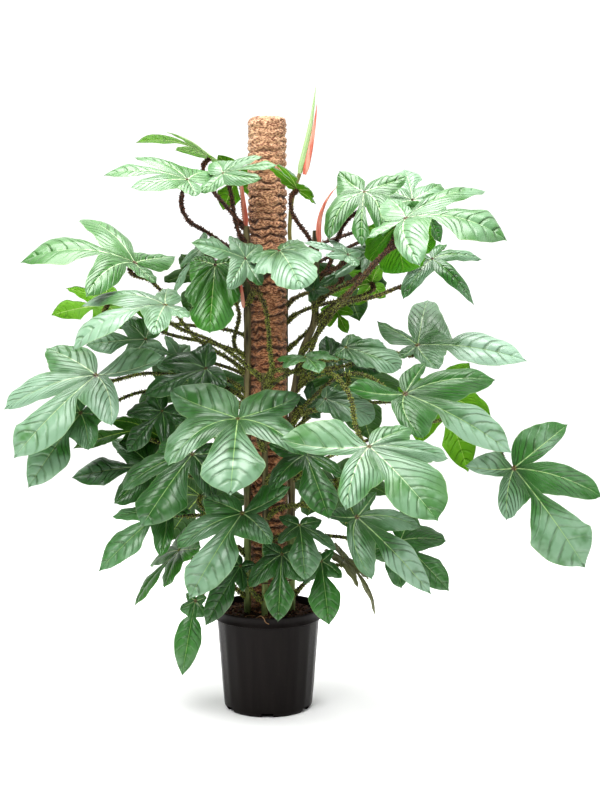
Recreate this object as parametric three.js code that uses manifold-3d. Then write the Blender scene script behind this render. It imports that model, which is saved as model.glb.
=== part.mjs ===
// A climbing philodendron with bristly leaf stalks, on a coir pole in a black nursery pot.
// Millimetres, +Z up. The origin is the centre of the pot's base, and the front faces -Y.
import * as THREE from "three";
import { mergeVertices } from "three/addons/utils/BufferGeometryUtils.js";
import Module from "manifold-3d";

const wasm = await Module();
wasm.setup();

// Driving dimensions
const GAP = 0.3;
const SEAT_GAP = 0.9;
const POT = {
  rimRadius: 136, bandDrop: 28, bodyRadius: 130, baseRadius: 112, height: 258, wall: 2.2, floor: 2.5,
  chamferWidth: 6, chamferHeight: 10, footHeight: 6, footWidth: 22,
  channels: 6, channelWidth: 30, drainRadius: 5, sides: 24,
};
const SOIL = { top: 240, mound: 10, rings: 2, crumb: 2.5, edgeGap: 1 };
const POLE = {
  coreRadius: 32, coirRadius: 46.5, top: 1483, coirFoot: 196, sides: 16,
  fold: 2.6, rowStep: 58, capFlat: 34, capEdge: 44.5, capDrop: 8, capDepth: 20,
};
const STEM = { radius: 8.5, sides: 6, step: 90, foot: 200, holeGap: 1.6 };
const STALK = { radius: 4.2, sides: 4, step: 92, bristle: 4, leaveOut: 30, leaveUp: 26, neck: 25 };
const BLADE = { thickness: 1.2 };
const TIE = { heights: [330, 364], width: 3, thickness: 1.2, clearance: 0.8 };

// Places on the plant are written as they show from the front, at the pole's distance:
// [mm to the right of the pot's axis, mm up, mm toward the viewer].
const EYE = new THREE.Vector3(81, -3500, 1100);

function place([right, up, toward]) {
  const point = new THREE.Vector3(right, 0, up).sub(EYE);
  return point.multiplyScalar(1 + toward / EYE.y).add(EYE);
}

const LOOKS = { dark: 0x2c5a2c, mid: 0x3f7d42, pale: 0x8fbf97, lime: 0x6fae2a, dry: 0x6b5a34 };

function material(color, roughness) {
  return new THREE.MeshStandardMaterial({ color, roughness, metalness: 0 });
}

const part = new THREE.Group();

function addPiece(name, geometry, look) {
  const mesh = new THREE.Mesh(geometry, look);
  mesh.name = name;
  part.add(mesh);
  return mesh;
}

function toSolid(geometry) {
  const bare = geometry.clone();
  bare.deleteAttribute("normal");
  bare.deleteAttribute("uv");
  const merged = mergeVertices(bare, 1e-4);
  return new wasm.Manifold(new wasm.Mesh({
    numProp: 3,
    vertProperties: new Float32Array(merged.attributes.position.array),
    triVerts: new Uint32Array(merged.index.array),
  }));
}

function toGeometry(solid) {
  const mesh = solid.getMesh();
  const geometry = new THREE.BufferGeometry();
  geometry.setAttribute("position", new THREE.BufferAttribute(new Float32Array(mesh.vertProperties), 3));
  geometry.setIndex(Array.from(mesh.triVerts));
  return geometry;
}

function lathe(profile, sides) {
  const points = profile.map(([radius, height]) => new THREE.Vector2(radius, height));
  return new THREE.LatheGeometry(points, sides).rotateX(Math.PI / 2);
}

function cylinder(radius, bottom, top, sides) {
  return lathe([[0, bottom], [radius, bottom], [radius, top], [0, top]], sides);
}


// The pot: a tapered shell with a rim band, and channels under the edge of its base that drain it.
function makePot() {
  const { rimRadius, bandDrop, bodyRadius, baseRadius, height, wall, floor } = POT;
  const { chamferWidth, chamferHeight, footHeight, footWidth, channelWidth, drainRadius, sides } = POT;
  const bandFoot = height - bandDrop;
  const footInner = baseRadius - footWidth;
  const footTop = footHeight + floor;
  let pot = toSolid(lathe([
    [0, 0], [baseRadius - chamferWidth, 0], [baseRadius, chamferHeight], [bodyRadius, bandFoot],
    [rimRadius - 1, bandFoot], [rimRadius, height - 2], [rimRadius - wall, height],
    [bodyRadius - wall, bandFoot], [baseRadius - wall - 1, footTop],
    [footInner - wall, footTop], [footInner - 2 * wall, floor], [0, floor],
  ], sides));
  const channelLength = footWidth + chamferWidth + 2;
  for (let i = 0; i < POT.channels; i += 1) {
    const angle = ((i + 0.5) / POT.channels) * 2 * Math.PI;
    const channel = new THREE.BoxGeometry(channelLength, channelWidth, 2 * footHeight);
    channel.translate(footInner + channelLength / 2, 0, 0).rotateZ(angle);
    const drain = cylinder(drainRadius, -1, 2 * footHeight, 8);
    drain.translate(footInner + footWidth / 2, 0, 0).rotateZ(angle);
    pot = pot.subtract(toSolid(channel)).subtract(toSolid(drain));
  }
  return toGeometry(pot);
}

// Stems run up the pole. Each is a list of [x, y, z] on the stem's centre line.
const STEMS = {
  left: [[-51, -32, STEM.foot], [-51, -32, 700], [-49, -36, 950], [-51, -32, 1215]],
  front: [[-8, -60, STEM.foot], [-5, -60, 500], [-8, -60, 855]],
  right: [[60, -15, STEM.foot], [60, -15, 710], [63, -15, 790], [84, -15, 900], [118, -16, 980],
    [121, -15, 1120], [119, -14, 1205]],
  backLeft: [[-37, 48, STEM.foot], [-37, 48, 1140]],
  backRight: [[42, 44, STEM.foot], [42, 44, 1140]],
};

// The soil fills the pot, is mounded and crumbly on top, and has plain holes for the pole and stems.
function makeSoil() {
  const { baseRadius, bodyRadius, wall, floor, footHeight, footWidth, height, bandDrop } = POT;
  const footTop = footHeight + floor + GAP;
  const footInner = baseRadius - footWidth - 2 * wall - GAP;
  const topRadius = bodyRadius - wall - SOIL.edgeGap;
  const profile = [
    [0, floor + GAP], [footInner, floor + GAP], [footInner + wall - GAP, footTop],
    [baseRadius - wall - 3 * SOIL.edgeGap, footTop], [topRadius, height - bandDrop],
  ];
  for (let i = SOIL.rings; i >= 0; i -= 1) {
    const share = i / SOIL.rings;
    profile.push([(topRadius - SOIL.edgeGap) * share, SOIL.top + SOIL.mound * (1 - share * share)]);
  }
  const geometry = lathe(profile, POT.sides);
  const position = geometry.attributes.position;
  for (let i = 0; i < position.count; i += 1) {
    const [x, y, z] = [position.getX(i), position.getY(i), position.getZ(i)];
    if (z > SOIL.top + GAP) {
      position.setZ(i, z + SOIL.crumb * Math.sin(x * 0.16) * Math.cos(y * 0.13));
    }
  }
  const above = SOIL.top + 4 * SOIL.mound;
  const holes = [
    cylinder(POLE.coreRadius + 2 * GAP, 0, POLE.coirFoot, POLE.sides),
    cylinder(POLE.coirRadius + POLE.fold + 2 * GAP, POLE.coirFoot - GAP, above, POLE.sides),
  ];
  for (const [[x, y, foot]] of Object.values(STEMS)) {
    holes.push(cylinder(STEM.radius + STEM.holeGap, foot - GAP, above, 8).translate(x, y, 0));
  }
  return toGeometry(holes.reduce((soil, hole) => soil.subtract(toSolid(hole)), toSolid(geometry)));
}

// The coir blanket is wrinkled in rings, and closes over the top of the stake.
function makeCoir() {
  const { coirRadius, coreRadius, top, coirFoot, fold, rowStep, capFlat, capEdge, capDrop, capDepth } = POLE;
  const profile = [[0, top], [capFlat, top], [capEdge, top - capDrop]];
  const firstRow = top - capDepth;
  const rows = Math.floor((firstRow - coirFoot) / rowStep);
  for (let i = 0; i <= rows; i += 1) {
    profile.push([coirRadius + (i % 2 === 0 ? fold : -fold), firstRow - i * rowStep]);
  }
  profile.push([coirRadius - fold, coirFoot], [coreRadius + GAP, coirFoot]);
  profile.push([coreRadius + GAP, top - capDepth], [0, top - capDepth]);
  return lathe(profile.reverse(), POLE.sides);
}

function tube(points, radius, sides, step, bristle) {
  const path = new THREE.CatmullRomCurve3(points, false, "centripetal");
  const steps = Math.max(4, Math.round(path.getLength() / step));
  const outline = [];
  for (let i = 0; i < sides; i += 1) {
    const angle = (i / sides) * 2 * Math.PI;
    outline.push(new THREE.Vector2(radius * Math.cos(angle), radius * Math.sin(angle)));
  }
  const settings = { steps, bevelEnabled: false, extrudePath: path };
  const geometry = new THREE.ExtrudeGeometry(new THREE.Shape(outline), settings);
  return bristle > 0 ? raiseBristles(geometry, steps, bristle) : geometry;
}

// Raises every third side face of a tube to a point: its bristles, larger than life.
function raiseBristles(geometry, steps, height) {
  const position = geometry.attributes.position;
  const corner = (index) => new THREE.Vector3().fromBufferAttribute(position, index);
  const start = geometry.groups[1].start;
  const points = [];
  for (let i = 0; i < start; i += 1) {
    points.push(corner(i));
  }
  for (let i = start; i < position.count; i += 6) {
    const [a, b, d, c] = [corner(i), corner(i + 1), corner(i + 2), corner(i + 4)];
    const face = (i - start) / 6;
    if ((Math.floor(face / steps) + (face % steps)) % 3 === 0) {
      const outward = b.clone().sub(a).cross(d.clone().sub(a)).normalize();
      const apex = a.clone().add(b).add(c).add(d).multiplyScalar(0.25).addScaledVector(outward, height);
      points.push(a, b, apex, b, c, apex, c, d, apex, d, a, apex);
    } else {
      points.push(a, b, d, b, c, d);
    }
  }
  const raised = new THREE.BufferGeometry();
  raised.setAttribute("position", new THREE.Float32BufferAttribute(points.flatMap((p) => p.toArray()), 3));
  return raised;
}

function stemPoint(name, height) {
  const line = STEMS[name];
  const above = line.findIndex((point) => point[2] > height);
  const [low, high] = [line[above - 1], line[above]];
  const share = (height - low[2]) / (high[2] - low[2]);
  return new THREE.Vector3(...low).lerp(new THREE.Vector3(...high), share);
}

// A stalk leaves its stem slanting up, and meets the blade's joint square from below.
function makeStalk(leaf, reach, sides, bristle) {
  const [stem, height, ...passing] = leaf.stalk;
  const root = stemPoint(stem, height);
  const joint = place(leaf.base);
  const next = passing.length > 0 ? place(passing[0]) : joint;
  const leaving = next.clone().sub(root).setZ(0).setLength(STALK.leaveOut).setZ(STALK.leaveUp);
  const underside = bladeNormal(leaf);
  const points = [root, root.clone().add(leaving), ...passing.map(place)];
  points.push(joint.clone().addScaledVector(underside, -STALK.neck));
  points.push(joint.clone().addScaledVector(underside, reach));
  return toSolid(tube(points, STALK.radius, sides, STALK.step, bristle));
}

function bladeNormal(leaf) {
  const map = bladeMap(leaf);
  const origin = map({ x: 0, y: 0 });
  const forward = map({ x: 0, y: 0.01 }).sub(origin);
  const up = new THREE.Vector3(...leaf.faces);
  return up.addScaledVector(forward, -up.dot(forward) / forward.lengthSq()).normalize();
}

function makeStem(name) {
  const line = STEMS[name].map((point) => new THREE.Vector3(...point));
  return toSolid(tube(line, STEM.radius, STEM.sides, STEM.step, 0));
}

// A tie runs round the pole and every stem beside it, as arcs joined by straight stretches.
function makeTie(height) {
  const stems = Object.keys(STEMS).map((name) => stemPoint(name, height));
  stems.sort((first, second) => Math.atan2(first.y, first.x) - Math.atan2(second.y, second.x));
  const loop = (clearance) => {
    const path = new THREE.Path();
    stems.forEach((stem, index) => {
      const angle = Math.atan2(stem.y, stem.x);
      const before = Math.atan2(stems.at(index - 1).y, stems.at(index - 1).x);
      const after = Math.atan2(stems[(index + 1) % stems.length].y, stems[(index + 1) % stems.length].x);
      const start = angle - THREE.MathUtils.euclideanModulo(angle - before, 2 * Math.PI) / 2;
      const end = angle + THREE.MathUtils.euclideanModulo(after - angle, 2 * Math.PI) / 2;
      path.absarc(stem.x, stem.y, STEM.radius + clearance, start, end, false);
    });
    return path.getPoints(2);
  };
  const outline = new THREE.Shape(loop(TIE.clearance + TIE.thickness));
  outline.holes.push(new THREE.Path(loop(TIE.clearance)));
  const ring = new THREE.ExtrudeGeometry(outline, { depth: TIE.width, bevelEnabled: false });
  return ring.translate(0, 0, height - TIE.width / 2);
}

// A slender pointed piece, turned about its length and flattened: the rolled new leaf and bud sheaths.
// Its profile is a list of [share of the length, share of the radius].
const SPINDLE = [[0, 0.6], [0.1, 1], [0.3, 0.88], [0.6, 0.56], [0.8, 0.32], [0.93, 0.14]];

function makeSpindle({ foot, tip, radius, flat, bow }) {
  const from = new THREE.Vector3(...foot);
  const along = new THREE.Vector3(...tip).sub(from);
  const length = along.length();
  const profile = SPINDLE.map(([share, width]) => [radius * width, length * share]);
  const geometry = lathe([[0, 0], ...profile, [0, length]], 8).scale(1, flat, 1);
  const turn = new THREE.Quaternion().setFromUnitVectors(new THREE.Vector3(0, 0, 1), along.normalize());
  const position = geometry.attributes.position;
  for (let i = 0; i < position.count; i += 1) {
    const point = new THREE.Vector3().fromBufferAttribute(position, i);
    const share = point.z / length;
    point.applyQuaternion(turn).add(from).addScaledVector(new THREE.Vector3(...bow), 4 * share * (1 - share));
    position.setXYZ(i, ...point.toArray());
  }
  return geometry;
}

// The newest leaf: a smooth stalk close beside the pole, with the rolled leaf on its top.
const NEW_STALK = {
  root: 1060, radius: 5.5, step: 46,
  line: [[92, -15, 1100], [60, -14, 1165], [57, -13, 1240], [66, -10, 1300], [80, -6, 1344]],
};
const NEW_LEAF = { foot: [80, -6, 1345.1], tip: [120, 2, 1562], radius: 9, flat: 0.6, bow: [5, 0, 0] };
const SHEATHS = {
  sheath_top: { foot: [92, -11.6, 1342], tip: [123, -1.2, 1520], radius: 7.5, flat: 0.4, bow: [4, -3, 0] },
  sheath_left: { foot: [-51, -32, 1215.8], tip: [-70, -36, 1375], radius: 7, flat: 0.4, bow: [0, 0, 0] },
  sheath_middle: { foot: [-57.8, -42, 1015], tip: [-69, -51, 1120], radius: 5, flat: 0.4, bow: [0, 0, 0] },
  sheath_right: { foot: [129, -22, 1172], tip: [173, -47, 1312], radius: 7, flat: 0.4, bow: [-17, 4, 8] },
};

// The blade in its own flat frame: y runs from the stalk's joint (0) to the tip (1), x to the side.
// Each lobe is a ladder: a vein, and edges on both sides with a bulge given as
// [share of the way, bulge] twice, measured from the notch to the lobe's tip.
const EDGES = {
  tip: [[0.15, 0.44], [0.75, 0.28]],
  lateralUpper: [[0.35, 0.02], [0.8, 0.12]],
  lateralLower: [[0.25, 0.2], [0.8, 0.26]],
  basalUpper: [[0.3, 0.1], [0.75, 0.14]],
  basalLower: [[0.2, 0.56], [0.75, 0.28]],
};
const NOTCH_DEPTH = { upper: 0.3, lower: 0.4 };
const NOTCH_SHARE = 0.9;
const LATERAL_BOW = { reach: 0.44, lean: 0.54 };
const BASAL_BOW = [0.5, 0.3];
const WEB_SHARE = 0.3;
const SINUS_SLOPE = 0.03;

function edgeCurve(notch, tip, bulges, outward) {
  const along = tip.clone().sub(notch);
  const normal = new THREE.Vector2(along.y, -along.x).multiplyScalar(outward);
  const [first, second] = bulges.map(([share, bulge]) =>
    notch.clone().addScaledVector(along, share).addScaledVector(normal, bulge));
  return new THREE.CubicBezierCurve(notch, first, second, tip);
}

function notchPoint(depth, first, second, share) {
  const direction = first.clone().normalize().addScaledVector(second.clone().normalize(), share);
  return direction.normalize().multiplyScalar(depth);
}

// The line that leaves a notch midway between the two lobes beside it.
function sinusLine(notch, first, second) {
  const line = first.clone().sub(notch).normalize().add(second.clone().sub(notch).normalize());
  return line.multiplyScalar(Math.sign(line.dot(notch)) || 1).normalize();
}

// Keeps an edge point on its own lobe's side of that line, so that two lobes never cover each other.
function keepApart(point, notch, line, outward) {
  const normal = new THREE.Vector2(line.y, -line.x);
  const away = point.clone().sub(notch);
  const excess = away.dot(normal) * outward + SINUS_SLOPE * Math.max(away.dot(line), 0);
  return excess > 0 ? point.addScaledVector(normal, -outward * excess) : point;
}

// Gives the ladders of one half: lists of [vein point, edge point] from the joint to the lobe's tip.
// A side is the tips of its lateral and basal lobes, then the upper and lower notch where they are given.
function halfLadders(side, { rows, slim, crown }) {
  const joint = new THREE.Vector2(0, 0);
  const tip = new THREE.Vector2(0, 1);
  const [lateral, basal, ...notches] = side.map((spot) => new THREE.Vector2(...spot));
  const small = Math.min(1, lateral.length() + basal.length());
  const lowerDepth = Math.min(NOTCH_DEPTH.lower * small, NOTCH_SHARE * lateral.length(),
    NOTCH_SHARE * basal.length());
  const upper = notches[0] ?? notchPoint(NOTCH_DEPTH.upper, tip, lateral, 0.35);
  const lower = notches[1] ?? notchPoint(lowerDepth, lateral, basal, 1);
  const lateralMiddle = notchPoint(LATERAL_BOW.reach * lateral.length(), lower, upper, LATERAL_BOW.lean);
  const basalMiddle = basal.clone().multiply(new THREE.Vector2(...BASAL_BOW));
  const veins = {
    tip: new THREE.LineCurve(joint, tip),
    lateral: new THREE.QuadraticBezierCurve(joint, lateralMiddle, lateral),
    basal: new THREE.QuadraticBezierCurve(joint, basalMiddle, basal),
  };
  const ladder = (vein, notch, line, bulges, outward, count, fullness) => {
    const shaped = bulges.map(([share, bulge]) => [share, bulge * fullness]);
    const edge = edgeCurve(notch, vein.getPoint(1), shaped, outward);
    const edgePoint = (share) => keepApart(edge.getPoint(share), notch, line, outward);
    const open = notch.length() > 0;
    const rungs = [];
    for (let i = 0; i <= count; i += 1) {
      const atVein = i === count ? 1 : WEB_SHARE + ((1 - WEB_SHARE) * i) / count;
      rungs.push([vein.getPoint(atVein), edgePoint(i / count)]);
    }
    if (!open) {
      rungs[0] = [vein.getPoint(WEB_SHARE), edgePoint(WEB_SHARE / 2)];
    }
    return rungs;
  };
  const upperLine = sinusLine(upper, tip, lateral);
  const lowerLine = sinusLine(lower, lateral, basal);
  const footLine = new THREE.Vector2(0, -1);
  return [
    ladder(veins.tip, upper, upperLine, EDGES.tip, 1, rows + 1, slim * crown),
    ladder(veins.lateral, upper, upperLine, EDGES.lateralUpper, -1, rows, slim),
    ladder(veins.lateral, lower, lowerLine, EDGES.lateralLower, 1, rows, slim),
    ladder(veins.basal, lower, lowerLine, EDGES.basalUpper, -1, rows, slim),
    ladder(veins.basal, joint, footLine, EDGES.basalLower, 1, rows, slim),
  ];
}

// Maps the flat blade into place: bent along the midrib, arched or folded across it.
function bladeMap(leaf) {
  const base = place(leaf.base);
  const tip = place(leaf.tip);
  const chord = tip.clone().sub(base);
  const bend = THREE.MathUtils.degToRad(leaf.bend);
  const length = (chord.length() * bend) / 2 / Math.sin(bend / 2);
  const forward = chord.clone().normalize();
  const up = new THREE.Vector3(...leaf.faces);
  up.addScaledVector(forward, -up.dot(forward)).normalize();
  const side = new THREE.Vector3().crossVectors(forward, up);
  const arch = THREE.MathUtils.degToRad(leaf.arch);
  const fold = THREE.MathUtils.degToRad(leaf.fold);
  const rise = THREE.MathUtils.degToRad(leaf.rise);
  return (flat) => {
    const curl = flat.y > 0 ? bend : -rise;
    const turn = bend / 2 - curl * flat.y;
    const point = base.clone();
    point.addScaledVector(forward, (length / curl) * (Math.sin(bend / 2) - Math.sin(turn)));
    point.addScaledVector(up, (length / curl) * (Math.cos(turn) - Math.cos(bend / 2)));
    const normal = up.clone().multiplyScalar(Math.cos(turn)).addScaledVector(forward, -Math.sin(turn));
    const reach = Math.abs(flat.x);
    const lean = arch * reach * 0.5 - fold;
    point.addScaledVector(side, length * flat.x * Math.cos(lean));
    point.addScaledVector(normal, -length * reach * Math.sin(lean));
    return point;
  };
}

// Lists the blade's triangles once, on shared points, for both halves.
function bladeSheet(leaf) {
  const points = [];
  const keys = new Map();
  const map = bladeMap(leaf);
  const indexOf = (flat) => {
    const key = `${flat.x.toFixed(5)} ${flat.y.toFixed(5)}`;
    if (!keys.has(key)) {
      keys.set(key, points.length);
      points.push(map(flat));
    }
    return keys.get(key);
  };
  const faces = [];
  const joint = new THREE.Vector2(0, 0);
  for (const half of [1, -1]) {
    const mirrored = (flat) => new THREE.Vector2(flat.x * half * leaf.wide, flat.y);
    const ladders = halfLadders(half > 0 ? leaf.right : leaf.left, leaf);
    ladders.forEach((rungs, index) => {
      const flip = (index === 0 || index % 2 === 0) === half > 0;
      const push = (a, b, c) => {
        if (a !== b && b !== c && a !== c) {
          faces.push(flip ? [a, c, b] : [a, b, c]);
        }
      };
      const rails = [[joint, joint], ...rungs].map((rung) => rung.map((flat) => indexOf(mirrored(flat))));
      for (let i = 1; i < rails.length; i += 1) {
        const [innerVein, innerEdge] = rails[i - 1];
        const [outerVein, outerEdge] = rails[i];
        push(innerVein, innerEdge, outerEdge);
        push(innerVein, outerEdge, outerVein);
      }
    });
  }
  return { points, faces };
}

// Thickens the sheet into a closed blade, alike on both faces.
function thicken({ points, faces }, thickness) {
  const normals = points.map(() => new THREE.Vector3());
  for (const [a, b, c] of faces) {
    const cross = points[b].clone().sub(points[a]).cross(points[c].clone().sub(points[a]));
    [a, b, c].forEach((index) => normals[index].add(cross));
  }
  const count = points.length;
  const positions = [];
  for (const half of [1, -1]) {
    points.forEach((point, index) => {
      const shift = normals[index].clone().normalize().multiplyScalar((half * thickness) / 2);
      positions.push(...point.clone().add(shift).toArray());
    });
  }
  const edges = new Map();
  const index = [];
  for (const [a, b, c] of faces) {
    index.push(a, b, c, a + count, c + count, b + count);
    [[a, b], [b, c], [c, a]].forEach(([from, to]) => {
      if (edges.has(`${to} ${from}`)) {
        edges.delete(`${to} ${from}`);
      } else {
        edges.set(`${from} ${to}`, [from, to]);
      }
    });
  }
  for (const [from, to] of edges.values()) {
    index.push(from, from + count, to + count, from, to + count, to);
  }
  const geometry = new THREE.BufferGeometry();
  geometry.setAttribute("position", new THREE.Float32BufferAttribute(positions, 3));
  geometry.setIndex(index);
  return geometry;
}

const SHAPE = {
  right: [[0.5, 0.48], [0.5, -0.26]], left: [[0.5, 0.48], [0.5, -0.26]], faces: [0, -0.8, 0.6],
  wide: 1, slim: 1, crown: 1, bend: 20, arch: 45, fold: 8, rise: 60, rows: 2,
  look: "mid",
};

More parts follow.
